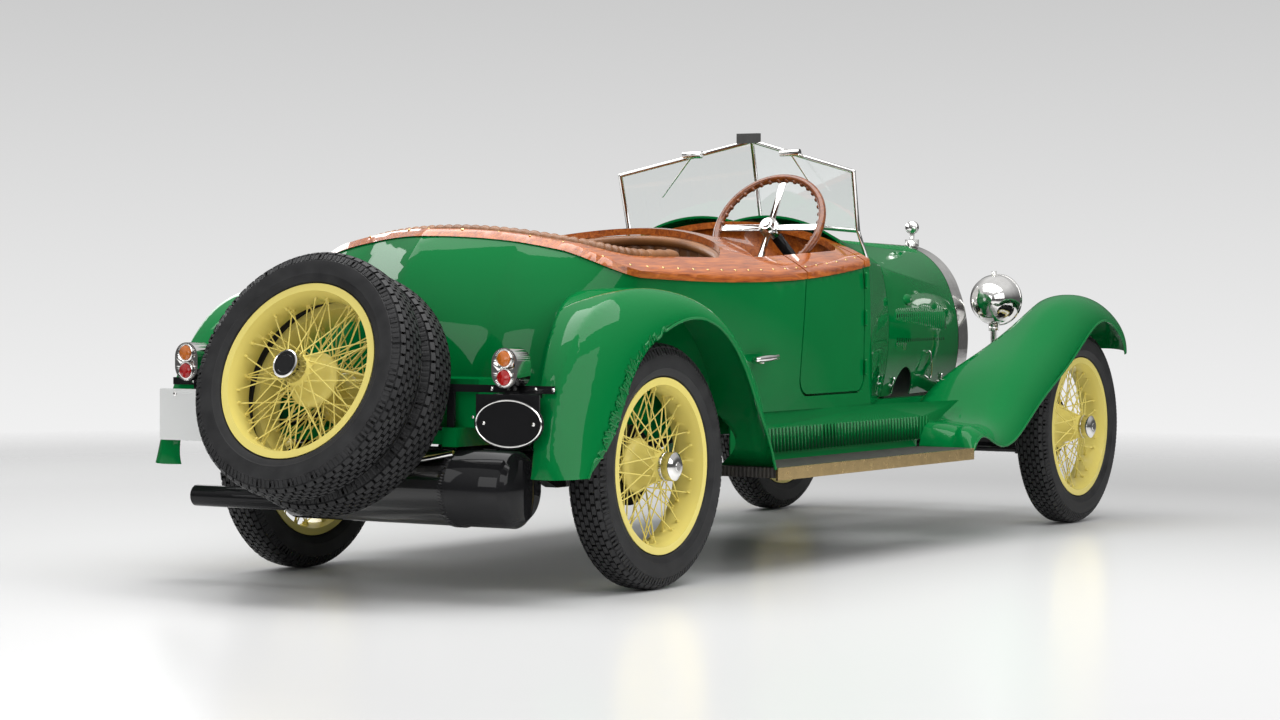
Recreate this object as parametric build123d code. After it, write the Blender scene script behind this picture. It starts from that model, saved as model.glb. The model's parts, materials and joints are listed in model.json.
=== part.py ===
from build123d import *
import math
import os

# An open touring car of the 1920s: ladder chassis, wire wheels, two spares on the tail, an aluminium
# body capped in varnished wood, a folded-open V windscreen and long flowing wings.
# Millimetres. +X is forward, +Y is to the left, +Z is up, and the ground is Z = 0. The pieces are
# worked out with X = 0 at the rear axle; the last step moves them so that the middle of the whole
# car's length is X = 0.

# Driving dimensions of the running gear
wheelbase = 3120
track = 1300
tyre_radius = 371
tyre_half_width = 66
rim_radius = 266
rim_half_width = 52
rim_wall = 6
hub_nose = 104
hub_bore = 22
spoke_radius = 2.1
drum_radius = 122
drum_inner_face = 92
kingpin_inset = 125
kingpin_radius = 11
tie_arm = 170
axle_beam = 45
rail_y = 345
rail_width = 50
rail_bottom = 420
rail_tail_bottom = 444
rail_top = 500
rail_rear = -600
rail_front = 3560
running_fit = 0.05
seat_gap = 0.3
pin_gap = 2

# Driving dimensions of the body
sill = rail_top
wall = 28
wood = 22
wood_overhang = 6
scuttle_rear = 1650
bonnet_rear = 2150
radiator_rear = 3030
door_rear = 1100
door_front = 1590
door_bottom = 550
door_gap = 7
capping_gap = 10
lid_gap = 3

# Driving dimensions of the wings and boards
wing_outer = 780
wing_sheet = 4
board_rear = 560
board_front = 1990
board_top = 340
board_thickness = 32
board_inner = 520
board_low = board_top - board_thickness
edge_strip = 8
valance_y = 560
valance_sheet = 4
valance_rib = 8

# Driving dimensions of the spare wheels
spare_tilt = 20.3
spare_outer = (-822, 648)
spare_pitch = 155

# Driving dimensions of the screen and the steering
screen_bar = 16
glass_thickness = 5
steering_centre = (1370, -300, 1113)
steering_slope = 31.6
steering_rim = 200
steering_rim_radius = 13
column_radius = 19
shaft_radius = 12

axle_z = tyre_radius
half_track = track / 2
kingpin_y = half_track - kingpin_inset


# Small builders

def block(x0, x1, y0, y1, z0, z1):
    return Pos((x0 + x1) / 2, (y0 + y1) / 2, (z0 + z1) / 2) * Box(x1 - x0, y1 - y0, z1 - z0)


def rod(start, end, radius):
    along = Vector(*end) - Vector(*start)
    place = Plane(origin=start, z_dir=along)
    return place * Cylinder(radius, along.length, align=(Align.CENTER, Align.CENTER, Align.MIN))


def side_plate(outline, y0, y1):
    face = Plane.XZ.offset(-y1) * make_face(Polyline(*outline, close=True))
    return extrude(face, amount=y1 - y0)


def plan_plate(edges, z0, z1):
    face = Plane.XY.offset(z0) * make_face(edges)
    return extrude(face, amount=z1 - z0)


def turned(outline):
    # outline columns: radius, place along Y
    return revolve(make_face(Polyline(*outline, close=True)), Axis.Y)


def mirrored(piece):
    return mirror(piece, about=Plane.XZ)


def pair(piece):
    return Compound(children=[piece, mirrored(piece)])


def group(pieces):
    return Compound(children=list(pieces))


# Wheels, modelled with the outer side towards +Y and the centre of the tyre at the origin

def tyre():
    # columns: radius, half width
    half = [
        (rim_radius - 16, rim_half_width - rim_wall),
        (rim_radius + 3, rim_half_width - rim_wall),
        (rim_radius + 20, tyre_half_width - 4),
        (rim_radius + 58, tyre_half_width),
        (tyre_radius - 13, tyre_half_width - 10),
        (tyre_radius, tyre_half_width - 28),
    ]
    return turned(half + [(radius, -width) for radius, width in reversed(half)])


def rim():
    seat = rim_radius - 16
    half = [
        (seat, rim_half_width - rim_wall),
        (rim_radius, rim_half_width - rim_wall),
        (rim_radius, rim_half_width),
        (seat - 6, rim_half_width),
        (seat - 14, rim_half_width / 2),
    ]
    return turned(half + [(radius, -width) for radius, width in reversed(half)])


hub_face = -60
hub_end = 64
hub_bore_depth = 40


def hub(with_nose):
    # columns: radius, place along the axle; without its nose cap the bore goes right through
    bore = hub_bore + running_fit
    outline = [
        (bore, hub_face), (62, hub_face), (84, hub_face + 16), (84, hub_face + 26), (66, -20),
        (45, 48), (42, hub_end),
    ]
    cap = [(42, hub_nose - 8), (30, hub_nose), (0, hub_nose + 2), (0, hub_bore_depth), (bore, hub_bore_depth)]
    return turned(outline + cap if with_nose else outline + [(bore, hub_end)])


def drum():
    outline = [
        (hub_bore + 20, -60),
        (drum_radius, -60),
        (drum_radius, -drum_inner_face + 4),
        (drum_radius - 6, -drum_inner_face + 4),
        (drum_radius - 6, -66),
        (hub_bore + 20, -66),
    ]
    return turned(outline)


# columns: pairs, hub radius, hub place, rim place, twist in degrees
spoke_rows = [
    (12, 44, 50, -16, 52),
    (10, 80, -38, 14, 40),
    (10, 80, -40, -26, 26),
]


def spokes():
    made = []
    rim_reach = rim_radius - 26
    for pairs, hub_radius, hub_y, rim_y, twist in spoke_rows:
        for i in range(pairs):
            for side in (-1, 1):
                start_angle = math.radians(360 / pairs * i + side * 90 / pairs)
                end_angle = start_angle + math.radians(side * twist)
                near = hub_radius - 5
                start = (
                    near * math.cos(start_angle),
                    hub_y + side * 3,
                    near * math.sin(start_angle),
                )
                end = (rim_reach * math.cos(end_angle), rim_y, rim_reach * math.sin(end_angle))
                made.append(rod(start, end, spoke_radius))
    return made


def wire_wheel(with_nose, with_drum):
    body = rim() + hub(with_nose)
    if with_drum:
        body = body + drum()
    return body.fuse(*spokes())


# Chassis

def chassis_frame():
    # columns: place along the car, bottom, top
    rail_line = [
        (rail_rear, rail_tail_bottom, rail_top),
        (-200, rail_tail_bottom, rail_top),
        (400, rail_bottom, rail_top),
        (2700, rail_bottom, rail_top),
        (3200, rail_bottom + 20, rail_top - 4),
        (rail_front, rail_bottom - 60, rail_bottom - 22),
    ]
    low = [(x, bottom) for x, bottom, top in rail_line]
    high = [(x, top) for x, bottom, top in reversed(rail_line)]
    rail = side_plate(low + high, rail_y - rail_width / 2, rail_y + rail_width / 2)
    frame = rail + mirrored(rail)
    # columns: place along the car, bottom, top
    radiator_middle = radiator_rear + radiator_depth / 2
    crossmembers = [
        (rail_rear + 30, 450, 490), (560, 440, 480), (1500, 474, 496), (radiator_middle, 440, sill - 20),
    ]
    for x, bottom, top in crossmembers:
        frame = frame + block(x - 25, x + 25, -rail_y, rail_y, bottom, top)
    nose_x = rail_front - 20
    nose_z = rail_bottom - 40
    frame = frame + rod((nose_x, -rail_y, nose_z), (nose_x, rail_y, nose_z), 16)
    # columns: place along the car; an outrigger carries the running board on each side
    for x in (760, 1800):
        for side in (-1, 1):
            drop_low, drop_high = sorted((side * rail_y, side * (rail_y + 20)))
            frame = frame + block(x - 18, x + 18, drop_low, drop_high, board_low - 10, rail_bottom + 5)
            arm_low, arm_high = sorted((side * rail_y, side * (wing_outer - 60)))
            frame = frame + block(x - 18, x + 18, arm_low, arm_high, board_low - 10, board_low)
    tow_eye = rod((nose_x, -rail_y - 40, nose_z), (nose_x, rail_y + 40, nose_z), tow_bore)
    return frame - tow_eye


def frame_pieces(frame):
    # the rails with their outriggers and the members between them, which meet them face to face
    inner = rail_y - rail_width / 2
    left = block(-1000, 4000, inner, 1000, 0, 1000)
    between = block(-1000, 4000, -inner, inner, 0, 1000)
    pieces = []
    for zone in (left, mirrored(left), between):
        pieces.extend((frame & zone).solids())
    return group(pieces)


tow_bore = 10
engine_front = 2900
engine_rear = 2260


def engine_block():
    return block(engine_rear, engine_front, -150, 150, 380, 950)


def gearbox():
    shape = block(1700, engine_rear, -95, 95, 390, 560)
    return shape + rod((1560, 0, 440), (1700, 0, 440), 60)


def rear_axle():
    casing = rod((0, -half_track + drum_inner_face, axle_z), (0, half_track - drum_inner_face, axle_z), 34)
    casing = casing + Pos(0, 0, axle_z) * Sphere(105)
    casing = casing + rod((80, 0, axle_z), (1500, 0, 430), 28)
    for side in (-1, 1):
        inner = side * (half_track - drum_inner_face)
        casing = casing + rod((0, inner - side * 4, axle_z), (0, inner, axle_z), drum_radius - 2)
        casing = casing + rod((0, inner, axle_z), (0, side * (half_track + 30), axle_z), hub_bore)
    return casing


def front_axle():
    low = axle_z - 90
    middle = kingpin_y - 90
    # columns: place across, bottom, top
    beam_line = [
        (-middle, low, low + axle_beam),
        (middle, low, low + axle_beam),
    ]
    (y0, bottom, top), (y1, _, _) = beam_line
    beam = block(wheelbase - 22, wheelbase + 22, y0, y1, bottom, top)
    for side in (-1, 1):
        riser = Polyline(
            (side * middle, low), (side * (kingpin_y - 30), axle_z - 46),
            (side * (kingpin_y - 30), axle_z + 46), (side * (middle - 60), low + axle_beam),
            close=True,
        )
        plate = Plane.YZ.offset(wheelbase - 22) * make_face(riser)
        beam = beam + extrude(plate, amount=44)
        for z0, z1 in ((axle_z - 46, axle_z - 30), (axle_z + 30, axle_z + 46)):
            lug = rod((wheelbase, side * kingpin_y, z0), (wheelbase, side * kingpin_y, z1), 22)
            bridge_low = min(side * (kingpin_y - 30), side * kingpin_y)
            bridge_high = max(side * (kingpin_y - 30), side * kingpin_y)
            lug = lug + block(wheelbase - 22, wheelbase + 22, bridge_low, bridge_high, z0, z1)
            beam = beam + lug
        hole = rod(
            (wheelbase, side * kingpin_y, axle_z - 60), (wheelbase, side * kingpin_y, axle_z + 60),
            kingpin_radius + running_fit,
        )
        beam = beam - hole
    return beam


def leaf_springs():
    # columns: front end, middle, rear end
    spans = [
        ((2620, rail_bottom - seat_gap), (wheelbase, axle_z - 5), (rail_front - 130, rail_bottom - 34)),
        ((-400, rail_tail_bottom - seat_gap), (0, axle_z - 34), (620, rail_bottom - seat_gap)),
    ]
    made = []
    for (x0, z0), (x1, z1), (x2, z2) in spans:
        outline = [
            (x0, z0), (x1 - 60, z1), (x1 + 60, z1), (x2, z2), (x2, z2 - 14), (x1 + 60, z1 - 40),
            (x1 - 60, z1 - 40), (x0, z0 - 14),
        ]
        leaf = side_plate(outline, rail_y - 22, rail_y + 22)
        made += [leaf, mirrored(leaf)]
    return made


def knuckle():
    # the left one; the kingpin stands at the origin of its turn
    y = kingpin_y
    eye = rod((wheelbase, y, axle_z - 30 + pin_gap), (wheelbase, y, axle_z + 30 - pin_gap), 26)
    pin = rod((wheelbase, y, axle_z - 50), (wheelbase, y, axle_z + 50), kingpin_radius)
    stub = rod((wheelbase, y, axle_z), (wheelbase, half_track + 30, axle_z), hub_bore)
    plate_y = half_track - drum_inner_face
    backplate = rod((wheelbase, plate_y - 4, axle_z), (wheelbase, plate_y, axle_z), drum_radius - 2)
    arm_low = axle_z - 70
    post = block(wheelbase - 60, wheelbase - 36, y - 12, plate_y - 4, arm_low, axle_z)
    arm = block(wheelbase - tie_arm, wheelbase - 36, y - 12, y + 12, arm_low, arm_low + 16)
    eye_end = rod((wheelbase - tie_arm, y, arm_low), (wheelbase - tie_arm, y, arm_low + 16), 16)
    tie_pin = rod((wheelbase - tie_arm, y, arm_low - 34), (wheelbase - tie_arm, y, arm_low), 8)
    return eye + pin + stub + backplate + post + arm + eye_end + tie_pin


def tie_rod():
    x = wheelbase - tie_arm
    z = axle_z - 70 - 18
    bar = rod((x, -kingpin_y + 12, z), (x, kingpin_y - 12, z), 10)
    for side in (-1, 1):
        y = side * kingpin_y
        bar = bar + rod((x, y, z - 14), (x, y, z + 14), 18)
        bar = bar - rod((x, y, z - 30), (x, y, z + 30), 8 + running_fit)
    return bar


# Body

crown_reach = 650
crown_shoulder_y = 420
crown_edge_y = 540
# columns: place along the car, height in the middle, height at the shoulder
crown_sections = [(-620, 1076, 1034), (1000, 1104, 1046), (scuttle_rear + 40, 1142, 1060)]
crown_edge_drop = 52
crown_side_drop = 132


def crown_solid(drop):
    # everything under the crowned line that the wooden capping follows
    faces = []
    for x, middle, shoulder in crown_sections:
        z = shoulder - drop
        left = (crown_shoulder_y, z)
        right = (-crown_shoulder_y, z)
        left_end = (crown_reach, z - crown_side_drop)
        right_end = (-crown_reach, z - crown_side_drop)
        edges = [
            ThreePointArc(right, (0, middle - drop), left),
            ThreePointArc(left, (crown_edge_y, z - crown_edge_drop), left_end),
            Polyline(left_end, (crown_reach, 300), (-crown_reach, 300), right_end),
            ThreePointArc(right_end, (-crown_edge_y, z - crown_edge_drop), right),
        ]
        faces.append(Plane.YZ.offset(x) * make_face(edges))
    return loft(faces, ruled=True)


amidships = 750
quarter_x = 60
# columns: height, half width at the scuttle, half width amidships, half width at the quarter,
# tail corner along, tail corner across, middle of the tail
body_sections = [
    (sill, 553, 568, 548, -262, 430, -455),
    (720, 550, 586, 556, -246, 436, -440),
    (940, 545, 606, 582, -150, 446, -357),
    (1150, 500, 590, 570, 10, 446, -110),
]


def body_plan(row, inset):
    height, front, middle, quarter, corner_x, corner_y, tail = row
    f = (scuttle_rear, front - inset)
    m = (amidships, middle - inset)
    q = (quarter_x, quarter - inset)
    k = (corner_x + 62 + inset * 0.7, corner_y + 62 - inset * 0.7)
    r = ((corner_x + tail) / 2 + 40 + inset, corner_y * 0.6)
    t = (tail + inset, 0)

    def flip(point):
        return (point[0], -point[1])

    edges = [
        ThreePointArc(f, m, q),
        ThreePointArc(q, k, r),
        Line(r, t),
        Line(t, flip(r)),
        ThreePointArc(flip(r), flip(k), flip(q)),
        ThreePointArc(flip(q), flip(m), flip(f)),
        Line(flip(f), f),
    ]
    return Plane.XY.offset(height) * make_face(edges)


def body_mass(inset):
    return loft([body_plan(row, inset) for row in body_sections])


def door_prism(gap):
    corner = 60
    bend = corner * (1 - math.sqrt(0.5))
    rear = door_rear - gap
    front = door_front + gap
    low = door_bottom - gap
    top = 1300
    edges = [
        Line((rear, top), (rear, low + corner)),
        ThreePointArc((rear, low + corner), (rear + bend, low + bend), (rear + corner, low)),
        Line((rear + corner, low), (front - corner, low)),
        ThreePointArc((front - corner, low), (front - bend, low + bend), (front, low + corner)),
        Line((front, low + corner), (front, top)),
        Line((front, top), (rear, top)),
    ]
    face = Plane.XZ.offset(-700) * make_face(edges)
    return extrude(face, amount=260)


def both_doors(gap):
    one = door_prism(gap)
    return one + mirrored(one)


def rear_opening(grow):
    # plan of the rear cockpit, with its rounded front end
    edges = [
        ThreePointArc((640, 522 + grow), (890 + grow, 330 + grow), (1000 + grow, 0)),
        ThreePointArc((1000 + grow, 0), (890 + grow, -330 - grow), (640, -522 - grow)),
        Line((640, -522 - grow), (180, -514 - grow)),
        ThreePointArc((180, -514 - grow), (30 - grow, -465 - grow), (-60 - grow, -340)),
        ThreePointArc((-60 - grow, -340), (-112 - grow, 0), (-60 - grow, 340)),
        ThreePointArc((-60 - grow, 340), (30 - grow, 465 + grow), (180, 514 + grow)),
        Line((180, 514 + grow), (640, 522 + grow)),
    ]
    return plan_plate(edges, 700, 1300)


def front_opening():
    edges = [
        ThreePointArc((880, 520), (1000, 250), (1050, 0)),
        ThreePointArc((1050, 0), (1000, -250), (880, -520)),
        Line((880, -520), (1480, -486)),
        ThreePointArc((1480, -486), (1585, -430), (1612, -300)),
        Line((1612, -300), (1612, 300)),
        ThreePointArc((1612, 300), (1585, 430), (1480, 486)),
        Line((1480, 486), (880, 520)),
    ]
    return plan_plate(edges, 700, 1300)


def build_body():
    tube = body_mass(0) - body_mass(wall)
    tube = tube & crown_solid(wood)
    tube = tube - rod((0, -700, axle_z), (0, 700, axle_z), drum_radius + 10)
    body = tube - both_doors(door_gap)
    doors = tube & both_doors(0)
    rim_band = body_mass(-wood_overhang) & (crown_solid(0) - crown_solid(wood))
    rim_band = rim_band - rear_opening(0) - front_opening()
    capping = rim_band - both_doors(capping_gap)
    door_tops = rim_band & both_doors(0)
    return body, doors, capping, door_tops


def partition():
    # the upholstered wall that closes the front end of the rear cockpit, under the bridge
    band = rear_opening(18) - rear_opening(0)
    band = band & block(640, 1100, -600, 600, 700, 1200)
    low = plan_plate_band(sill + floor_thickness, 700)
    return (band + low) & crown_solid(wood) & body_mass(wall + seat_gap)


def plan_plate_band(z0, z1):
    outer = ThreePointArc((640, 540), (908, 348), (1018, 0))
    outer_right = ThreePointArc((1018, 0), (908, -348), (640, -540))
    inner_right = ThreePointArc((640, -522), (890, -330), (1000, 0))
    inner_left = ThreePointArc((1000, 0), (890, 330), (640, 522))
    edges = [outer, outer_right, Line((640, -540), (640, -522)), inner_right, inner_left]
    edges.append(Line((640, 522), (640, 540)))
    return plan_plate(edges, z0, z1)


floor_thickness = 14


def floor_board():
    plate = block(-300, scuttle_rear - 5, -560, 560, sill, sill + floor_thickness)
    return plate & body_mass(wall)


# Scuttle, bonnet and radiator share one arched section
# columns: place along, sill half width, sill height, side half width, side height,
# shoulder half width, shoulder height, roof half width, roof height, top height
arch_rows = {
    "scuttle": (scuttle_rear, 553, sill, 549, 750, 497, 1010, 350, 1112, 1142),
    "bonnet": (bonnet_rear, 330, sill, 366, 800, 335, 980, 200, 1058, 1085),
    "radiator": (radiator_rear, 182, sill, 225, 738, 188, 894, 100, 1018, 1067),
}


def arch_face(row, inset, x=None):
    along, sill_y, sill_z, side_y, side_z, shoulder_y, shoulder_z, roof_y, roof_z, top = row
    a = (sill_y - inset, sill_z)
    b = (side_y - inset, side_z)
    c = (shoulder_y - inset * 0.9, shoulder_z - inset * 0.4)
    d = (roof_y - inset * 0.4, roof_z - inset * 0.9)
    e = (0, top - inset)

    def flip(point):
        return (-point[0], point[1])

    edges = [
        ThreePointArc(a, b, c),
        ThreePointArc(c, d, e),
        ThreePointArc(e, flip(d), flip(c)),
        ThreePointArc(flip(c), flip(b), flip(a)),
        Line(flip(a), a),
    ]
    return Plane.YZ.offset(along if x is None else x) * make_face(edges)


def arch_mass(first, last, inset):
    return loft([arch_face(arch_rows[first], inset), arch_face(arch_rows[last], inset)], ruled=True)


scuttle_sheet = 8
bulkhead_x = 2080


def scuttle():
    shell = arch_mass("scuttle", "bonnet", 0) - arch_mass("scuttle", "bonnet", scuttle_sheet)
    inside = arch_mass("scuttle", "bonnet", scuttle_sheet - 1)
    shell = shell + (inside & block(bulkhead_x, bulkhead_x + 8, -600, 600, sill, 1200))
    shell = shell & block(scuttle_rear, bonnet_rear - lid_gap, -600, 600, sill, 1200)
    shell = shell - column_room() - block(1900, 2200, -100, 100, 300, 565)
    # the rod that both bonnet halves hang on
    rear_top = arch_rows["bonnet"][-1]
    front_top = arch_rows["radiator"][-1]
    hinge = rod((bonnet_rear - 12, 0, rear_top), (radiator_rear, 0, front_top), lid_gap - seat_gap)
    return shell + hinge


def dashboard():
    # a wooden board under the front capping, inside the scuttle
    face = arch_face(arch_rows["scuttle"], wall + 6, x=scuttle_rear - 18)
    board = extrude(face, amount=14)
    board = board & block(1600, 1700, -600, 600, 860, 1200) & crown_solid(wood)
    return board - column_room()


bonnet_sheet = 4
louvre_count = 24
louvre_pitch = 26
louvre_first = 2244
louvre_low = 700
louvre_high = 812


def bonnet_side_y(x):
    first = arch_rows["bonnet"]
    last = arch_rows["radiator"]
    share = (x - first[0]) / (last[0] - first[0])
    return first[3] + (last[3] - first[3]) * share


def bonnet_half():
    # the left half; it hangs on the hinge along the top
    shell = arch_mass("bonnet", "radiator", 0) - arch_mass("bonnet", "radiator", bonnet_sheet)
    front = radiator_rear - 2 * lid_gap
    keep = block(bonnet_rear + lid_gap, front, lid_gap, 600, sill + 2 * lid_gap, 1200)
    half = shell & keep
    arch = rod((2390, 0, sill - 10), (2390, 600, sill - 10), 120)
    half = half - arch
    turn = math.degrees(math.atan2(366 - 225, radiator_rear - bonnet_rear))
    ribs = []
    middle = (louvre_low + louvre_high) / 2
    for i in range(louvre_count):
        x = louvre_first + i * louvre_pitch
        rib = Box(9, 9, louvre_high - louvre_low)
        ribs.append(Pos(x, bonnet_side_y(x) - 4, middle) * Rot(0, 0, -turn) * rib)
    return half.fuse(*ribs)


radiator_depth = 84


def radiator_shell():
    outer = extrude(arch_face(arch_rows["radiator"], 0), amount=radiator_depth)
    inner = extrude(arch_face(arch_rows["radiator"], 26), amount=radiator_depth)
    foot = block(radiator_rear, radiator_rear + radiator_depth, -182, 182, sill - 20, sill)
    return outer - inner + foot


def radiator_core():
    return extrude(arch_face(arch_rows["radiator"], 26, x=radiator_rear + 10), amount=60)


def radiator_cap():
    x = radiator_rear + radiator_depth / 2
    top = arch_rows["radiator"][-1]
    base = rod((x, 0, top - 1), (x, 0, top + 26), 27)
    base = base + rod((x, 0, top + 26), (x, 0, top + 56), 9)
    dial = rod((x - 10, 0, top + 74), (x + 10, 0, top + 74), 25)
    cap = base + dial
    return cap - radiator_shell()


# Wings: each section runs from its inner edge over the crown to the outer lip, in a plane that
# holds the Y direction and a rising direction in the side view

lip_round = 0.74
lip_share = 0.62


def wing_face(base, lean, lip, crown, inner, crown_y, inner_y):
    # base is a point in the side view; lip, crown and inner are heights from it along the lean
    direction = math.radians(lean)
    plane = Plane(
        origin=(base[0], 0, base[1]),
        x_dir=(0, 1, 0),
        z_dir=(math.sin(direction), 0, -math.cos(direction)),
    )
    mid_y = crown_y + (wing_outer - crown_y) * lip_round
    mid = lip + (crown - lip) * lip_share
    top_y = (crown_y + inner_y) / 2
    top = (crown + inner) / 2 + abs(crown - inner) * 0.1 + 4
    t = wing_sheet
    edges = [
        ThreePointArc((inner_y, inner), (top_y, top), (crown_y, crown)),
        ThreePointArc((crown_y, crown), (mid_y, mid), (wing_outer, lip)),
        Line((wing_outer, lip), (wing_outer - t, lip)),
        ThreePointArc((wing_outer - t, lip), (mid_y - t * 0.8, mid - t * 0.6), (crown_y, crown - t)),
        ThreePointArc((crown_y, crown - t), (top_y, top - t), (inner_y, inner - t)),
        Line((inner_y, inner - t), (inner_y, inner)),
    ]
    return plane * make_face(edges)


rear_wing_centre = (-100, 380)
# columns: angle round the wing, lip radius, crown radius, inner radius, crown half width,
# inner half width
rear_wing_rows = [
    (-5, 668, 738, 734, 700, 500),
    (20, 556, 650, 648, 700, 500),
    (45, 522, 590, 588, 700, 500),
    (70, 462, 540, 536, 700, 500),
    (95, 390, 523, 516, 700, 500),
    (120, 338, 535, 522, 700, 560),
    (145, 304, 528, 518, 702, 620),
    (164, 320, 526, 516, 704, 640),
    (182, 436, 530, 520, 708, 640),
]

# columns: lip along, lip height, lean of the section, crown rise, inner rise, crown half width,
# inner half width
front_wing_rows = [
    (board_front + seat_gap, 316, 90, 22, 24, 700, 500),
    (2300, 340, 106, 89, 100, 660, 400),
    (2480, 428, 110, 114, 112, 650, 400),
    (2690, 545, 113, 130, 108, 650, 462),
    (2890, 652, 115, 141, 117, 650, 538),
    (3060, 752, 109, 121, 102, 650, 566),
    (3230, 768, 60, 100, 72, 650, 510),
    (3330, 715, 33, 128, 92, 650, 475),
    (3374, 645, 9, 128, 116, 650, 480),
]


def rear_wing():
    faces = []
    for angle, lip, crown, inner, crown_y, inner_y in rear_wing_rows:
        faces.append(wing_face(rear_wing_centre, angle, lip, crown, inner, crown_y, inner_y))
    wing = loft(faces) - body_mass(-seat_gap)
    room = block(board_rear - seat_gap, 2000, 400, 900, 200, board_top + seat_gap)
    return wing - room


def front_wing():
    faces = []
    for lip_x, lip_z, lean, crown, inner, crown_y, inner_y in front_wing_rows:
        faces.append(wing_face((lip_x, lip_z), lean, 0, crown, inner, crown_y, inner_y))
    beside_valance = valance_y + valance_sheet + valance_rib
    return loft(faces) - block(board_front - 5, 2160, 300, beside_valance, 300, 500)


def running_board():
    return block(board_rear, board_front, board_inner, wing_outer, board_low, board_top)


def board_edge():
    return block(board_rear, board_front, wing_outer, wing_outer + edge_strip, board_low - 8, board_top)


valance_louvres = 49
valance_louvre_pitch = 24
valance_louvre_first = 905
valance_louvre_low = 366
valance_louvre_high = 446
valance_front = 2110


def valance():
    outline = [
        (650, board_top), (board_front - 5, board_top), (board_front - 5, board_top + 20),
        (valance_front, board_top + 66), (2220, 452), (2330, sill - 6), (scuttle_rear, sill), (650, sill),
    ]
    plate = side_plate(outline, valance_y, valance_y + valance_sheet)
    height = valance_louvre_high - valance_louvre_low
    middle = valance_louvre_low + height / 2
    ribs = []
    for i in range(valance_louvres):
        x = valance_louvre_first + i * valance_louvre_pitch
        rib = Box(valance_rib, valance_rib, height)
        ribs.append(Pos(x, valance_y + valance_sheet + 1, middle) * Rot(0, 0, 30) * rib)
    return plate.fuse(*ribs)


# Screen

screen_corners = {
    "centre low": (1851, 0, 1140),
    "centre top": (1782, 0, 1430),
    "outer low": (1705, 470, 1104),
    "outer top": (1654, 477, 1309),
}


def screen_frame():
    low, top = screen_corners["centre low"], screen_corners["centre top"]
    outer_low, outer_top = screen_corners["outer low"], screen_corners["outer top"]
    bar = screen_bar / 2
    half = rod(low, outer_low, bar) + rod(outer_low, outer_top, bar) + rod(outer_top, top, bar)
    for corner in (low, top, outer_low, outer_top):
        half = half + Pos(*corner) * Sphere(bar + 0.5)
    half = half + rod(low, top, bar)
    foot = (1690, 520, 985)
    half = half + rod(outer_low, foot, 7)
    frame = half + mirrored(half) + rod(low, (low[0], 0, 1100), 12)
    return frame - arch_mass("scuttle", "bonnet", -seat_gap)


def screen_glass(bars):
    low = Vector(*screen_corners["centre low"])
    top = Vector(*screen_corners["centre top"])
    outer = Vector(*screen_corners["outer low"])
    far = Vector(*screen_corners["outer top"])
    normal = (outer - low).cross(top - low).normalized()
    far = far - normal * (far - low).dot(normal)
    face = make_face(Polyline(low, outer, far, top, close=True))
    pane = extrude(face, amount=glass_thickness / 2, both=True)
    room = arch_mass("scuttle", "bonnet", -seat_gap)
    return group([pane - bars - room, mirrored(pane) - bars - room])


def screen_fittings(bars):
    # a mirror on the centre post and two wiper motors on the top rails, with their blades
    top = Vector(*screen_corners["centre top"])
    outer = Vector(*screen_corners["outer top"])
    mirror_glass = block(top.X - 34, top.X - 16, -45, 45, top.Z - 10, top.Z + 26)
    made = [mirror_glass + rod((top.X - 18, 0, top.Z), (top.X - 2, 0, top.Z), 6)]
    for side in (1, -1):
        place = top + (outer - top) * 0.42
        x, y, z = place.X, place.Y * side, place.Z
        motor = rod((x - 26, y - 38, z + 2), (x - 26, y + 38, z + 2), 13)
        motor = motor + rod((x - 26, y, z), (x - 5, y, z), 8)
        blade_end = (x - 26 - 12, y + side * 120, z - 150)
        motor = motor + rod((x - 26, y, z), blade_end, 3)
        made.append(motor)
    return group([piece - bars for piece in made])


# Steering

def steering_axis():
    slope = math.radians(steering_slope)
    return Vector(-math.cos(slope), 0, math.sin(slope))


def steering_plane(shift=0):
    return Plane(
        origin=Vector(*steering_centre) + steering_axis() * shift,
        x_dir=(0, 1, 0),
        z_dir=steering_axis(),
    )


def steering_wheel():
    plane = steering_plane()
    wheel = plane * Torus(steering_rim, steering_rim_radius)
    for i in range(4):
        angle = 90 * i
        spoke = Pos((steering_rim + 24) / 2, 0, -6) * Box(steering_rim - 24, 22, 6)
        wheel = wheel + plane * (Rot(0, 0, angle) * spoke)
    wheel = wheel + plane * (Pos(0, 0, -10) * Cylinder(34, 40))
    hole = Pos(0, 0, -30) * Cylinder(shaft_radius + running_fit, 60)
    return wheel - plane * hole


column_length = 975
box_half = (55, 34)


def column_line():
    near = Vector(*steering_centre) - steering_axis() * 40
    return near, near - steering_axis() * (column_length - 40)


def column_room():
    near, far = column_line()
    return rod(tuple(near), tuple(far), column_radius + pin_gap)


def steering_column():
    # the shaft reaches into the wheel's boss; the tube runs down to the box beside the frame
    near, far = column_line()
    shaft = rod(tuple(near + steering_axis() * 38), tuple(near - steering_axis() * 20), shaft_radius)
    tube = rod(tuple(near), tuple(far), column_radius)
    half_x, half_y = box_half
    box_y = steering_centre[1] + 40
    box = block(far.X - half_x, far.X + half_x, box_y - half_y, box_y + half_y, sill, far.Z + 40)
    foot = block(far.X - 35, far.X + 35, -rail_y + rail_width / 2, box_y + half_y, rail_bottom + 20, sill)
    return shaft + tube + box + foot


def levers():
    # each stands on a small flat foot, on the floor and on the gearbox
    floor_top = sill + floor_thickness
    brake = rod((1560, -80, floor_top + 6), (1470, -90, 860), 9) + Pos(1470, -90, 868) * Sphere(17)
    brake = brake + block(1545, 1575, -95, -65, floor_top, floor_top + 10)
    gear = rod((1720, 0, 566), (1560, -20, 800), 7) + Pos(1560, -20, 806) * Sphere(20)
    gear = gear + block(1704, 1736, -15, 15, 560, 572)
    return brake, gear


# Seats

front_seat_rear = 1035
front_seat_depth = 380
seat_height = 130
seat_base_top = 560
seat_half_width = 470


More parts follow.
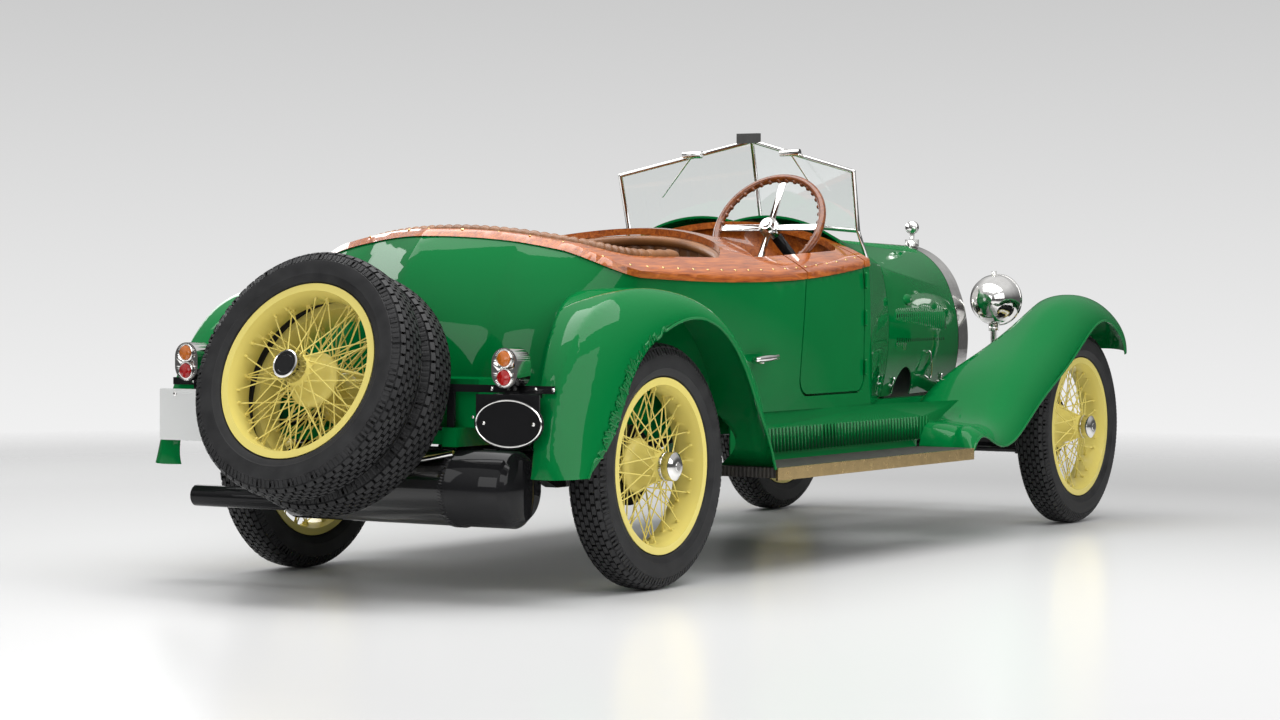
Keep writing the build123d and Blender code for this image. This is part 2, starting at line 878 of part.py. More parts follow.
def front_seat():
    low = sill + floor_thickness
    front = front_seat_rear + front_seat_depth
    base = block(front_seat_rear, front - 20, -seat_half_width, seat_half_width, low, seat_base_top)
    cushion = block(front_seat_rear + 52, front, -seat_half_width - 10, seat_half_width + 10,
                    seat_base_top, seat_base_top + seat_height)
    back_line = [
        (front_seat_rear, seat_base_top), (front_seat_rear, 880), (front_seat_rear - 6, 1010),
        (front_seat_rear + 24, 1010), (front_seat_rear + 52, seat_base_top + seat_height),
        (front_seat_rear + 52, seat_base_top),
    ]
    back = side_plate(back_line, -seat_half_width, seat_half_width)
    return base + cushion + back


def rear_seat():
    low = sill + floor_thickness
    base = block(-230, 400, -500, 500, low, seat_base_top)
    cushion = block(-150, 430, -500, 500, seat_base_top, seat_base_top + seat_height)
    back_line = [(-300, seat_base_top), (-300, 800), (-150, 1005), (-100, 1005), (-150, seat_base_top + seat_height),
                 (-150, seat_base_top)]
    back = side_plate(back_line, -500, 500)
    seat = base + cushion + back
    return seat & body_mass(wall + seat_gap) & crown_solid(wood + 6)


roll_width = 46
roll_depth = 44


def seat_roll():
    # the padded roll that follows the tail end of the rear cockpit, on the inside of the capping
    ring = rear_opening(-seat_gap) - rear_opening(-roll_width)
    band = crown_solid(-14) - crown_solid(roll_depth - 14)
    return ring & band & block(-300, 420, -600, 600, 800, 1200)


# Lamps, plates and small fittings

lamp_centre = (3130, 330, 857)
lamp_radius = 98
lamp_back = 88
lamp_front = 42
post_radius = 13


def headlamp(chassis):
    x, y, z = lamp_centre
    # columns: place along the lamp, radius
    outline = [
        (-lamp_back, 0), (-lamp_back + 4, 30), (-lamp_back + 26, 66), (-lamp_back + 60, 90),
        (0, lamp_radius), (lamp_front, lamp_radius), (lamp_front, lamp_radius - 8), (4, lamp_radius - 8),
        (-lamp_back + 62, 82), (-lamp_back + 30, 58), (-lamp_back + 10, 0),
    ]
    bowl = revolve(make_face(Polyline(*outline, close=True)), Axis.X)
    bowl = Pos(x, y, z) * bowl
    post = rod((x, y, rail_top - 10), (x, y, z - lamp_radius + 4), post_radius)
    collar = rod((x, y, z - lamp_radius - 24), (x, y, z - lamp_radius + 3), 20)
    knob = rod((x, y, z + lamp_radius - 2), (x, y, z + lamp_radius + 14), 10)
    return bowl + post + collar + knob - chassis


def headlamp_lens():
    x, y, z = lamp_centre
    return rod((x + lamp_front - 8, y, z), (x + lamp_front, y, z), lamp_radius - 8)


tail_lamp = (-640, 580, 677)
tail_lamp_half = (44, 58)
tail_lens_radius = 21
tail_lens_offset = 27
tail_bar = (-585, 612)


def tail_lamp_shell():
    x, y, z = tail_lamp
    half_width, half_height = tail_lamp_half
    front = tail_bar[0] - 10 - seat_gap
    face = Plane(origin=(front, y, z), x_dir=(0, 1, 0), z_dir=(-1, 0, 0)) * SlotCenterToCenter(
        2 * (half_height - half_width), 2 * half_width, rotation=90)
    shell = extrude(face, amount=70)
    for rise in (-tail_lens_offset, tail_lens_offset):
        pocket = rod((x - 30, y, z + rise), (x - 10, y, z + rise), tail_lens_radius)
        shell = shell - pocket
    bar_x, bar_z = tail_bar
    stem = rod((x + 20, y, bar_z), (x + 20, y, z - half_height + 4), 12)
    return shell + stem


def tail_lenses():
    x, y, z = tail_lamp
    made = []
    for side in (-1, 1):
        for rise in (-tail_lens_offset, tail_lens_offset):
            made.append(rod((x - 32, side * y, z + rise), (x - 10, side * y, z + rise), tail_lens_radius))
    return made


plate_x = -668
oval_half = (117, 72)
oval_place = (-596, 520)
blank_plate = (388, 684, 438, 594)


def tail_plates():
    bar_x, bar_z = tail_bar
    bar = block(bar_x - 10, bar_x, -700, 690, bar_z - 8, bar_z + 14)
    for side in (-1, 1):
        drop_low, drop_high = sorted((side * (rail_y - 12), side * (rail_y + 12)))
        bar = bar + block(bar_x - 10, bar_x, drop_low, drop_high, rail_top, bar_z)
    oval_y, oval_z = oval_place
    back = block(plate_x + 6, plate_x + 12, oval_y - 100, oval_y + 116, oval_z - 20, oval_z + 82)
    web = block(plate_x + 12, bar_x - 10, oval_y - 60, oval_y + 60, bar_z - 20, bar_z - 8)
    y0, y1, z0, z1 = blank_plate
    left_web = block(plate_x + 6, bar_x - 10, y0 + 80, y1 - 80, z1 - 20, z1 - 12)
    left_up = block(bar_x - 16, bar_x - 10, y0 + 80, y1 - 80, z1 - 20, bar_z + 4)
    right_up = block(bar_x - 10, bar_x, oval_y - 60, oval_y + 60, bar_z - 20, bar_z)
    return bar + back + web + left_web + left_up + right_up


def oval_plate():
    oval_y, oval_z = oval_place
    face = Plane(origin=(plate_x + 6, oval_y, oval_z), x_dir=(0, 1, 0), z_dir=(-1, 0, 0)) * Ellipse(*oval_half)
    return extrude(face, amount=6)


def number_plate():
    y0, y1, z0, z1 = blank_plate
    plate = block(plate_x + 3, plate_x + 6, y0, y1, z0, z1)
    for y in (y0 + 60, y1 - 60):
        plate = plate - rod((plate_x, y, z1 - 16), (plate_x + 10, y, z1 - 16), plate_hole)
    return plate


plate_hole = 3.5


def quarter_handle():
    # a fixed handle on the rear quarter, behind the door
    y = body_side_y(770)
    stem = rod((766, y - 8, 668), (766, y + 34, 668), 8)
    grip = rod((716, y + 30, 674), (866, y + 30, 680), 9)
    return stem + grip - body_mass(0)


def body_side_y(x):
    row = body_sections[1]
    front, middle, quarter = row[1:4]
    share = (x - amidships) / (scuttle_rear - amidships)
    return middle + (front - middle) * share ** 2 if share > 0 else middle


# Tail: spare wheels, silencer and apron

spare_axis = Vector(-math.cos(math.radians(spare_tilt)), 0, math.sin(math.radians(spare_tilt)))


def spare_place(number):
    x, z = spare_outer
    return Vector(x, 0, z) - spare_axis * spare_pitch * number


def spare_location(number):
    # turns the wheel so that its outer side, towards +Y, points backwards and up
    return Plane(origin=spare_place(number), x_dir=(0, -1, 0), z_dir=(-spare_axis.Z, 0, spare_axis.X)).location


def spare_carrier(chassis):
    inner = spare_place(1) - spare_axis * 96
    outer = spare_place(0) + spare_axis * 20
    spindle = rod(tuple(inner), tuple(outer), hub_bore)
    hub_plate = rod(tuple(inner), tuple(inner + spare_axis * 12), 60)
    made = spindle + hub_plate
    for side in (-1, 1):
        foot = (rail_rear + 30, side * (rail_y - 20), rail_top - 20)
        made = made + rod(tuple(inner + spare_axis * 6), foot, 15)
    return made - chassis - tail_apron()


silencer_x = -530
silencer_z = 322
silencer_radius = 112
silencer_right = -560
silencer_left = 250
pipe_end = 650
pipe_radius = 33


def silencer(chassis):
    drum_body = rod((silencer_x, silencer_right + 30, silencer_z), (silencer_x, silencer_left, silencer_z),
                    silencer_radius)
    dome = rod((silencer_x, silencer_right, silencer_z), (silencer_x, silencer_right + 30, silencer_z),
               silencer_radius - 26)
    cone = Plane(origin=(silencer_x, silencer_right + 30, silencer_z), z_dir=(0, -1, 0)) * Cone(
        silencer_radius, silencer_radius - 26, 30, align=(Align.CENTER, Align.CENTER, Align.MIN))
    band = rod((silencer_x, -rail_y - 14, silencer_z), (silencer_x, -rail_y + 14, silencer_z), silencer_radius + 4)
    made = drum_body + dome + cone + band
    made = made + block(silencer_x - 20, silencer_x + 20, -rail_y - 12, -rail_y + 12, silencer_z + 80,
                        rail_tail_bottom)
    made = made + block(rail_rear + 50, rail_rear + 90, 180, 220, silencer_z + 60, 460)
    return made - chassis


def tail_pipe():
    z = 262
    pipe = rod((silencer_x, silencer_left, z), (silencer_x, pipe_end, z), pipe_radius)
    return pipe - rod((silencer_x, silencer_left + 30, z), (silencer_x, pipe_end + 5, z), pipe_radius - 4)


def tail_apron():
    shape = block(-560, -380, -420, 420, sill, 640)
    return shape - body_mass(-seat_gap) - body_mass(0)


# The whole car: node names and the pieces in them

def wheel_on_left(piece, x):
    return Pos(x, half_track, axle_z) * piece


def build():
    body, doors, capping, door_tops = build_body()
    left_half = block(-2000, 4000, 0, 1000, 0, 2000)
    axle_wheel = wire_wheel(True, True)
    spare_wheels = [wire_wheel(True, False), wire_wheel(False, False)]
    plain_tyre = tyre()
    bonnet_left = bonnet_half()
    left_knuckle = knuckle()
    chassis = chassis_frame()
    bars = screen_frame()
    nodes = {
        "chassis_frame": frame_pieces(chassis),
        "engine_block": engine_block(),
        "gearbox": gearbox(),
        "rear_axle": rear_axle(),
        "front_axle": front_axle(),
        "leaf_springs": group(leaf_springs()),
        "silencer": silencer(chassis),
        "tail_pipe": tail_pipe(),
        "tail_apron": tail_apron(),
        "body_shell": body,
        "floor_board": floor_board(),
        "scuttle": scuttle(),
        "dashboard": dashboard(),
        "wood_capping": capping,
        "cockpit_partition": partition(),
        "front_seat": front_seat(),
        "rear_seat": rear_seat(),
        "seat_roll": seat_roll(),
        "door_left": doors & left_half,
        "door_right": mirrored(doors & left_half),
        "door_top_left": door_tops & left_half,
        "door_top_right": mirrored(door_tops & left_half),
        "bonnet_left": bonnet_left,
        "bonnet_right": mirrored(bonnet_left),
        "radiator_shell": radiator_shell(),
        "radiator_core": radiator_core(),
        "radiator_cap": radiator_cap(),
        "rear_wings": pair(rear_wing()),
        "front_wings": pair(front_wing()),
        "running_boards": pair(running_board()),
        "board_edges": pair(board_edge()),
        "valances": pair(valance()),
        "screen_frame": bars,
        "screen_glass": screen_glass(bars),
        "screen_fittings": screen_fittings(bars),
        "steering_column": steering_column(),
        "steering_wheel": steering_wheel(),
        "levers": group(levers()),
        "headlamps": pair(headlamp(chassis)),
        "headlamp_lenses": pair(headlamp_lens()),
        "tail_lamps": pair(tail_lamp_shell()),
        "tail_lenses": group(tail_lenses()),
        "tail_brackets": tail_plates(),
        "oval_plate": oval_plate(),
        "number_plate": number_plate(),
        "quarter_handles": pair(quarter_handle()),
        "spare_carrier": spare_carrier(chassis),
        "spare_wheels": group([spare_location(i) * spare_wheels[i] for i in (0, 1)]),
        "spare_tyres": group([spare_location(i) * plain_tyre for i in (0, 1)]),
        "knuckle_left": left_knuckle,
        "knuckle_right": mirrored(left_knuckle),
        "tie_rod": tie_rod(),
    }
    for place, x in (("rear", 0), ("front", wheelbase)):
        left_wheel = wheel_on_left(axle_wheel, x)
        left_tyre = wheel_on_left(plain_tyre, x)
        nodes["wheel_" + place + "_left"] = left_wheel
        nodes["wheel_" + place + "_right"] = mirrored(left_wheel)
        nodes["tyre_" + place + "_left"] = left_tyre
        nodes["tyre_" + place + "_right"] = mirrored(left_tyre)
    return nodes


def origin_shift(nodes):
    # the middle of the whole car's length goes to X = 0
    low = min(piece.bounding_box().min.X for piece in nodes.values())
    high = max(piece.bounding_box().max.X for piece in nodes.values())
    return -(low + high) / 2


def main():
    nodes = build()
    shift = origin_shift(nodes)
    print("rear axle at X =", round(shift, 3))
    os.makedirs("parts", exist_ok=True)
    for name, piece in nodes.items():
        solids = [Pos(shift, 0, 0) * solid for solid in piece.solids()]
        export_step(Compound(solids), "parts/" + name + ".step")


if __name__ == "__main__":
    main()
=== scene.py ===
import json
import math

import bmesh
import bpy
from mathutils import Matrix, Vector
from mathutils.bvhtree import BVHTree

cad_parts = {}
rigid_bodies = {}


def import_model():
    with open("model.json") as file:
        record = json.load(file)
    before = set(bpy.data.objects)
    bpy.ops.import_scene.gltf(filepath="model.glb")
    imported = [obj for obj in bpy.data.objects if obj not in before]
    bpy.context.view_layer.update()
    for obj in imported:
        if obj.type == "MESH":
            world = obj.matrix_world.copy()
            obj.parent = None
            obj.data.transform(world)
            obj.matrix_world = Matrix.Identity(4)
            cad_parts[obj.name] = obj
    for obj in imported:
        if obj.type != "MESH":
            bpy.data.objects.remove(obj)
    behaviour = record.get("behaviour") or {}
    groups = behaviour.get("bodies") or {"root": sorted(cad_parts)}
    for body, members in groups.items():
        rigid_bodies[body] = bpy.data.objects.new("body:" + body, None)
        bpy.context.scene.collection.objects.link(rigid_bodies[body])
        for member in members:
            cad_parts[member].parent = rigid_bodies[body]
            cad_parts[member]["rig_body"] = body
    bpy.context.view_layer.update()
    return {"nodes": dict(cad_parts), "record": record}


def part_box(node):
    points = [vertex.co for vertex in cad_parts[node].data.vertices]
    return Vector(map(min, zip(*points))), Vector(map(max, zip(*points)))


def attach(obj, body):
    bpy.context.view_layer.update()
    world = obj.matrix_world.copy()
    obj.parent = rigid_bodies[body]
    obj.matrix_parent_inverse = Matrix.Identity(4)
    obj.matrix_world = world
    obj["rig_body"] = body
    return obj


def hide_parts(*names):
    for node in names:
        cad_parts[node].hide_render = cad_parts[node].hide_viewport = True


# A 1920s touring car in green paint, cream wheels, varnished wood and tan leather.
# Metres. Places are given from the rear axle, and at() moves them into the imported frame.

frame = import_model()

tyre_low, tyre_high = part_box("tyre_rear_left")
rear_x = (tyre_low.x + tyre_high.x) / 2
axle_height = (tyre_low.z + tyre_high.z) / 2
half_track = (tyre_low.y + tyre_high.y) / 2
front_low, front_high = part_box("tyre_front_left")
wheelbase = (front_low.x + front_high.x) / 2 - rear_x


def at(x, y, z):
    return Vector((x + rear_x, y, z))


# Shader maths

class Sock:
    def __init__(self, finish, socket):
        self.finish = finish
        self.socket = socket

    def maths(self, operation, first, second):
        return self.finish.node("ShaderNodeMath", {"operation": operation}, {0: first, 1: second})

    def __add__(self, other):
        return self.maths("ADD", self, other)

    __radd__ = __add__

    def __mul__(self, other):
        return self.maths("MULTIPLY", self, other)

    __rmul__ = __mul__


class Finish:
    def __init__(self, name):
        self.material = bpy.data.materials.new(name)
        self.material.use_nodes = True
        self.tree = self.material.node_tree
        self.shader = self.tree.nodes["Principled BSDF"]

    def node(self, kind, settings=None, values=None, output=0):
        made = self.tree.nodes.new(kind)
        for key, value in (settings or {}).items():
            setattr(made, key, value)
        for key, value in (values or {}).items():
            self.plug(made.inputs[key], value)
        return Sock(self, made.outputs[output])

    def plug(self, socket, value):
        if isinstance(value, Sock):
            self.tree.links.new(value.socket, socket)
        else:
            socket.default_value = value

    def set(self, values):
        for key, value in values.items():
            if isinstance(value, tuple) and len(value) == 3:
                value = (*value, 1)
            self.plug(self.shader.inputs[key], value)
        return self

    def places(self, scale=(1, 1, 1)):
        where = self.node("ShaderNodeTexCoord", output=3)
        return self.node("ShaderNodeMapping", {}, {"Vector": where, "Scale": scale})

    def noise(self, scale, detail=3):
        return self.node("ShaderNodeTexNoise", {}, {
            "Vector": self.places(), "Scale": scale, "Detail": detail, "Roughness": 0.5})

    def ramp(self, value, stops):
        made = self.tree.nodes.new("ShaderNodeValToRGB")
        ramp = made.color_ramp
        while len(ramp.elements) < len(stops):
            ramp.elements.new(0.5)
        for element, (place, colour) in zip(ramp.elements, stops):
            element.position = place
            element.color = (*colour, 1)
        self.plug(made.inputs[0], value)
        return Sock(self, made.outputs[0])

    def bump(self, height, strength, distance):
        normal = self.node("ShaderNodeBump", {}, {
            "Height": height, "Strength": strength, "Distance": distance})
        return self.set({"Normal": normal})


def paint(name, colour, roughness=0.22, tint=0.05):
    finish = Finish(name)
    cloud = finish.noise(1.7, 2)
    dark = tuple(part * (1 - tint) for part in colour)
    light = tuple(part * (1 + tint) for part in colour)
    finish.set({
        "Base Color": finish.ramp(cloud, [(0.35, dark), (0.65, light)]),
        "Roughness": finish.noise(60, 2) * 0.05 + roughness,
        "Specular IOR Level": 0.0,
        "Coat Weight": 0.7,
        "Coat IOR": 1.36,
        "Coat Roughness": 0.025,
    })
    return finish.bump(finish.noise(900, 1), 0.02, 0.0004)


def metal(name, colour, roughness, wear=0.08):
    finish = Finish(name)
    stain = finish.noise(35, 4)
    dull = tuple(part * 0.86 for part in colour)
    finish.set({
        "Base Color": finish.ramp(stain, [(0.3, dull), (0.7, colour)]),
        "Metallic": 1.0,
        "Roughness": stain * wear + roughness,
    })
    return finish.bump(finish.noise(700, 2), 0.03, 0.0003)


def rubber(name):
    finish = Finish(name)
    dust = finish.noise(18, 5)
    finish.set({
        "Base Color": finish.ramp(dust, [(0.3, (0.011, 0.011, 0.012)), (0.8, (0.028, 0.028, 0.029))]),
        "Roughness": dust * 0.2 + 0.45,
        "Specular IOR Level": 0.3,
    })
    return finish.bump(finish.noise(420, 3), 0.12, 0.0006)


def varnished_wood(name, shade=1.0):
    finish = Finish(name)
    along = finish.places((1.2, 14, 14))
    grain = finish.node("ShaderNodeTexNoise", {}, {
        "Vector": along, "Scale": 5.0, "Detail": 8, "Roughness": 0.62, "Distortion": 0.9})
    fine = finish.node("ShaderNodeTexNoise", {}, {
        "Vector": finish.places((6, 160, 160)), "Scale": 3.0, "Detail": 4})
    mixed = grain * 0.7 + fine * 0.3
    colours = [
        (0.32, (0.14, 0.026, 0.005)), (0.46, (0.32, 0.072, 0.010)),
        (0.56, (0.46, 0.120, 0.016)), (0.72, (0.55, 0.165, 0.026)),
    ]
    colours = [(place, tuple(part * shade for part in colour)) for place, colour in colours]
    finish.set({
        "Base Color": finish.ramp(mixed, colours),
        "Roughness": 0.32,
        "Specular IOR Level": 0.15,
        "Coat Weight": 1.0,
        "Coat Roughness": 0.03,
    })
    return finish.bump(fine, 0.05, 0.0004)


def leather(name):
    finish = Finish(name)
    patch = finish.noise(7, 4)
    cells = finish.node("ShaderNodeTexVoronoi", {"feature": "DISTANCE_TO_EDGE"}, {
        "Vector": finish.places(), "Scale": 420.0})
    colours = [(0.3, (0.14, 0.050, 0.014)), (0.55, (0.24, 0.095, 0.028)), (0.75, (0.31, 0.135, 0.046))]
    finish.set({
        "Base Color": finish.ramp(patch, colours),
        "Roughness": patch * 0.25 + 0.32,
        "Coat Weight": 0.15,
        "Coat Roughness": 0.3,
    })
    return finish.bump(cells + finish.noise(60, 3) * 0.3, 0.22, 0.0009)


def glass(name, colour, clear=1.0, roughness=0.0):
    return Finish(name).set({
        "Base Color": colour, "Transmission Weight": clear, "Roughness": roughness, "IOR": 1.45,
        "Coat Weight": 0.5,
    })


def ribbed_mat(name):
    finish = Finish(name)
    ribs = finish.node("ShaderNodeTexWave", {"bands_direction": "Y"}, {
        "Vector": finish.places(), "Scale": 22.0, "Distortion": 0.0})
    dust = finish.noise(30, 4)
    finish.set({
        "Base Color": finish.ramp(dust, [(0.3, (0.014, 0.013, 0.012)), (0.8, (0.05, 0.042, 0.035))]),
        "Roughness": dust * 0.3 + 0.5,
    })
    return finish.bump(ribs, 0.7, 0.003)


def mesh_core(name):
    finish = Finish(name)
    across = finish.node("ShaderNodeTexWave", {"bands_direction": "Y"}, {
        "Vector": finish.places(), "Scale": 45.0})
    up = finish.node("ShaderNodeTexWave", {"bands_direction": "Z"}, {
        "Vector": finish.places(), "Scale": 45.0})
    cell = across * up
    finish.set({
        "Base Color": finish.ramp(cell, [(0.2, (0.01, 0.01, 0.01)), (0.7, (0.22, 0.17, 0.1))]),
        "Metallic": 0.8, "Roughness": 0.4,
    })
    return finish.bump(cell, 0.8, 0.004)


finishes = {
    "green_paint": paint("green_paint", (0.0006, 0.150, 0.034)),
    "yellow_paint": paint("cream_yellow", (0.76, 0.645, 0.185), 0.3),
    "rim_wood": varnished_wood("rim_wood", 0.42),
    "tyre_rubber": rubber("tyre_rubber"),
    "varnished_wood": varnished_wood("varnished_wood"),
    "tan_leather": leather("tan_leather"),
    "bright_metal": metal("bright_metal", (0.84, 0.83, 0.81), 0.06),
    "brass": metal("brass", (0.78, 0.56, 0.25), 0.16, 0.18),
    "black_enamel": paint("black_enamel", (0.012, 0.012, 0.013), 0.3),
    "bare_steel": metal("bare_steel", (0.30, 0.30, 0.31), 0.35, 0.2),
    "clear_glass": glass("clear_glass", (0.95, 0.985, 0.975)),
    "red_glass": glass("red_glass", (0.62, 0.01, 0.01), 0.4, 0.08),
    "amber_glass": glass("amber_glass", (0.85, 0.22, 0.02), 0.4, 0.08),
    "ribbed_mat": ribbed_mat("ribbed_mat"),
    "radiator_mesh": mesh_core("radiator_mesh"),
    "blank_plate": paint("blank_plate", (0.72, 0.73, 0.72), 0.35),
    "dial_face": paint("dial_face", (0.75, 0.73, 0.66), 0.4),
}
slot_of_node = {row["node"]: row["material_slot"] for row in frame["record"]["subparts"]}
crease = math.radians(32)
both_sides = (("left", 1), ("right", -1))


# Making pieces

def mesh_from(bm, name):
    # turns the working mesh into a kept one and frees it
    mesh = bpy.data.meshes.new(name)
    bm.to_mesh(mesh)
    bm.free()
    return mesh


def place_mesh(name, mesh, finish_names, body, slot=None, replaces=()):
    piece = bpy.data.objects.new(name, mesh)
    bpy.context.scene.collection.objects.link(piece)
    for finish_name in finish_names:
        mesh.materials.append(finishes[finish_name].material)
    mesh.shade_smooth()
    mesh.set_sharp_from_angle(angle=crease)
    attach(piece, body)
    slot or finish_names[0]
    if replaces:
        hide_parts(*replaces)
    return piece


def finished(name, bm, finish_names, body, slot=None, replaces=(), outward=True):
    if isinstance(finish_names, str):
        finish_names = [finish_names]
    if outward:
        bmesh.ops.remove_doubles(bm, verts=bm.verts, dist=1e-5)
        bmesh.ops.recalc_face_normals(bm, faces=bm.faces)
    return place_mesh(name, mesh_from(bm, name), finish_names, body, slot, replaces)


def dress(node, finish_names=None, rule=None, flat=False):
    # a joined and smoothly shaded copy of a node; rule gives a face's finish number from its middle
    source = frame["nodes"][node]
    slot = slot_of_node[node]
    bm = bmesh.new()
    bm.from_mesh(source.data)
    bmesh.ops.remove_doubles(bm, verts=bm.verts, dist=2e-5)
    for face in bm.faces:
        face.material_index = rule(face.calc_center_median()) if rule else 0
    mesh = mesh_from(bm, node + "_dressed")
    names = finish_names or [slot]
    piece = place_mesh(node + "_dressed", mesh, names, source["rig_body"], slot, (node,))
    if flat:
        mesh.shade_flat()
    return piece


def aim(direction, centre):
    turn = Vector(direction).to_track_quat("Z", "Y").to_matrix().to_4x4()
    return Matrix.Translation(centre) @ turn


def add_rod(bm, start, end, radius, end_radius=None, segments=16):
    along = end - start
    bmesh.ops.create_cone(
        bm, cap_ends=True, segments=segments, radius1=radius,
        radius2=radius if end_radius is None else end_radius,
        depth=along.length, matrix=aim(along, (start + end) / 2))


def add_ball(bm, centre, radius, squash=1.0, direction=(0, 0, 1)):
    shape = aim(direction, centre) @ Matrix.Diagonal((1, 1, squash, 1))
    bmesh.ops.create_uvsphere(bm, u_segments=16, v_segments=10, radius=radius, matrix=shape)


def oval_points(centre, across, up, count):
    # the points of an oval that stands square to the car's length
    angles = [2 * math.pi * i / count for i in range(count)]
    return [centre + Vector((0, across * math.cos(angle), up * math.sin(angle))) for angle in angles]


def ring_frame(direction, centre, upright):
    along = direction.normalized()
    across = Vector(upright).cross(along).normalized()
    turn = Matrix((across, along.cross(across), along)).transposed()
    return Matrix.Translation(centre) @ turn.to_4x4()


def add_tube(bm, points, radius, segments=10, closed=False, upright=(0, 0, 1)):
    # radius is a number, or a function of the share of the way along; upright is a direction
    # that the tube never runs in, such as the axis of a ring
    rings = []
    count = len(points)
    for i, point in enumerate(points):
        before = points[i - 1] if i or closed else point
        after = points[(i + 1) % count] if i < count - 1 or closed else point
        size = radius(i / (count - 1)) if callable(radius) else radius
        matrix = ring_frame(after - before, point, upright)
        made = bmesh.ops.create_circle(bm, cap_ends=False, segments=segments, radius=size, matrix=matrix)
        rings.append(list({edge for vert in made["verts"] for edge in vert.link_edges}))
    pairs = list(zip(rings, rings[1:]))
    if closed:
        pairs.append((rings[-1], rings[0]))
    for one, other in pairs:
        bmesh.ops.bridge_loops(bm, edges=one + other)
    if not closed:
        for ring in (rings[0], rings[-1]):
            bmesh.ops.holes_fill(bm, edges=ring, sides=segments)


def add_turned(bm, outline, steps=48, matrix=None, closed=False):
    # outline columns: radius, place along Y
    verts = [bm.verts.new((radius, y, 0)) for radius, y in outline]
    after = verts[1:] + verts[:1] if closed else verts[1:]
    edges = [bm.edges.new(two) for two in zip(verts, after)]
    bmesh.ops.spin(
        bm, geom=verts + edges, cent=(0, 0, 0), axis=(0, 1, 0), dvec=(0, 0, 0),
        angle=2 * math.pi, steps=steps, use_merge=True, use_duplicate=False)
    bmesh.ops.remove_doubles(bm, verts=bm.verts, dist=1e-6)
    if matrix is not None:
        bmesh.ops.transform(bm, matrix=matrix, verts=bm.verts)


def turned_mesh(name, outline):
    bm = bmesh.new()
    add_turned(bm, outline)
    bmesh.ops.recalc_face_normals(bm, faces=bm.faces)
    return mesh_from(bm, name)


def tree_of(piece):
    bm = bmesh.new()
    bm.from_mesh(piece.data)
    tree = BVHTree.FromBMesh(bm)
    bm.free()
    return tree


# Tyres: a turned body whose crown carries five columns of blocks and whose shoulders carry fine ribs

tread_blocks = 68
steps_per_block = 4
tread_rise = 0.0046
rib_rise = 0.0024
tread_inner_radius = 0.334
# columns: radius, half width, what the band that ends here carries
tyre_profile = [
    (0.251, 0.045, ""), (0.268, 0.046, ""), (0.272, 0.055, ""), (0.288, 0.0615, ""), (0.291, 0.0618, ""),
    (0.293, 0.0632, ""), (0.297, 0.0634, ""), (0.299, 0.0632, ""), (0.318, 0.0655, ""), (0.333, 0.0640, ""),
    (0.3345, 0.0622, ""), (0.353, 0.0535, "rib"), (0.3545, 0.0515, ""), (0.3625, 0.0405, "block"),
    (0.3628, 0.0375, ""), (0.3655, 0.0250, "block"), (0.3655, 0.0220, ""), (0.3662, 0.0095, "block"),
    (0.3662, 0.0065, ""),
]


def tyre_mesh():
    bm = bmesh.new()
    ring = [(radius, -width) for radius, width, _ in tyre_profile]
    ring += [(radius, width) for radius, width, _ in reversed(tyre_profile)]
    count = tread_blocks * steps_per_block
    add_turned(bm, ring, count, closed=True)
    step = 2 * math.pi / count
    # columns: inner and outer half width, kind, how many steps it lags behind its neighbour
    bands = [(-1, tyre_profile[-1][1], "block", 0)]
    lag = 0
    for before, after in reversed(list(zip(tyre_profile, tyre_profile[1:]))):
        if after[2]:
            lag = 2 - lag
            bands.append((after[1], before[1], after[2], lag))
    raised = {"block": [], "rib": []}
    for face in bm.faces:
        middle = face.calc_center_median()
        if math.hypot(middle.x, middle.z) < tread_inner_radius:
            continue
        number = math.floor(math.atan2(middle.z, middle.x) / step)
        for inner, outer, kind, lag in bands:
            if not inner < abs(middle.y) < outer:
                continue
            if kind == "rib" and number % 2 or kind == "block" and (number + lag) % steps_per_block == 3:
                continue
            raised[kind].append(face)
    bm.normal_update()
    for kind, rise in (("block", tread_rise), ("rib", rib_rise)):
        made = bmesh.ops.extrude_face_region(bm, geom=raised[kind])
        for vert in made["geom"]:
            if isinstance(vert, bmesh.types.BMVert):
                radial = Vector((vert.co.x, 0, vert.co.z)).normalized()
                lean = Vector((0, vert.co.y * 6, 0)) if kind == "rib" else Vector()
                vert.co += (radial + lean).normalized() * rise
    bmesh.ops.recalc_face_normals(bm, faces=bm.faces)
    return mesh_from(bm, "tyre")


spare_tilt = math.radians(20.3)
spare_axis = Vector((-math.cos(spare_tilt), 0, math.sin(spare_tilt)))
spare_centre = at(-0.822, 0, 0.648)
spare_pitch = 0.155


def spare_matrix(number):
    turn = Matrix((Vector((0, -1, 0)), spare_axis, Vector((-spare_axis.z, 0, spare_axis.x)))).transposed()
    return Matrix.Translation(spare_centre - spare_axis * spare_pitch * number) @ turn.to_4x4()


def wheel_matrix(x, sign):
    return Matrix.Translation(at(x, sign * half_track, axle_height)) @ Matrix.Diagonal((1, sign, 1, 1))


def placed_copy(name, mesh, matrix, finish_name, body, replaces=()):
    bm = bmesh.new()
    bm.from_mesh(mesh)
    bmesh.ops.transform(bm, matrix=matrix, verts=bm.verts)
    if matrix.determinant() < 0:
        bmesh.ops.reverse_faces(bm, faces=bm.faces)
    return place_mesh(name, mesh_from(bm, name), [finish_name], body, replaces=replaces)


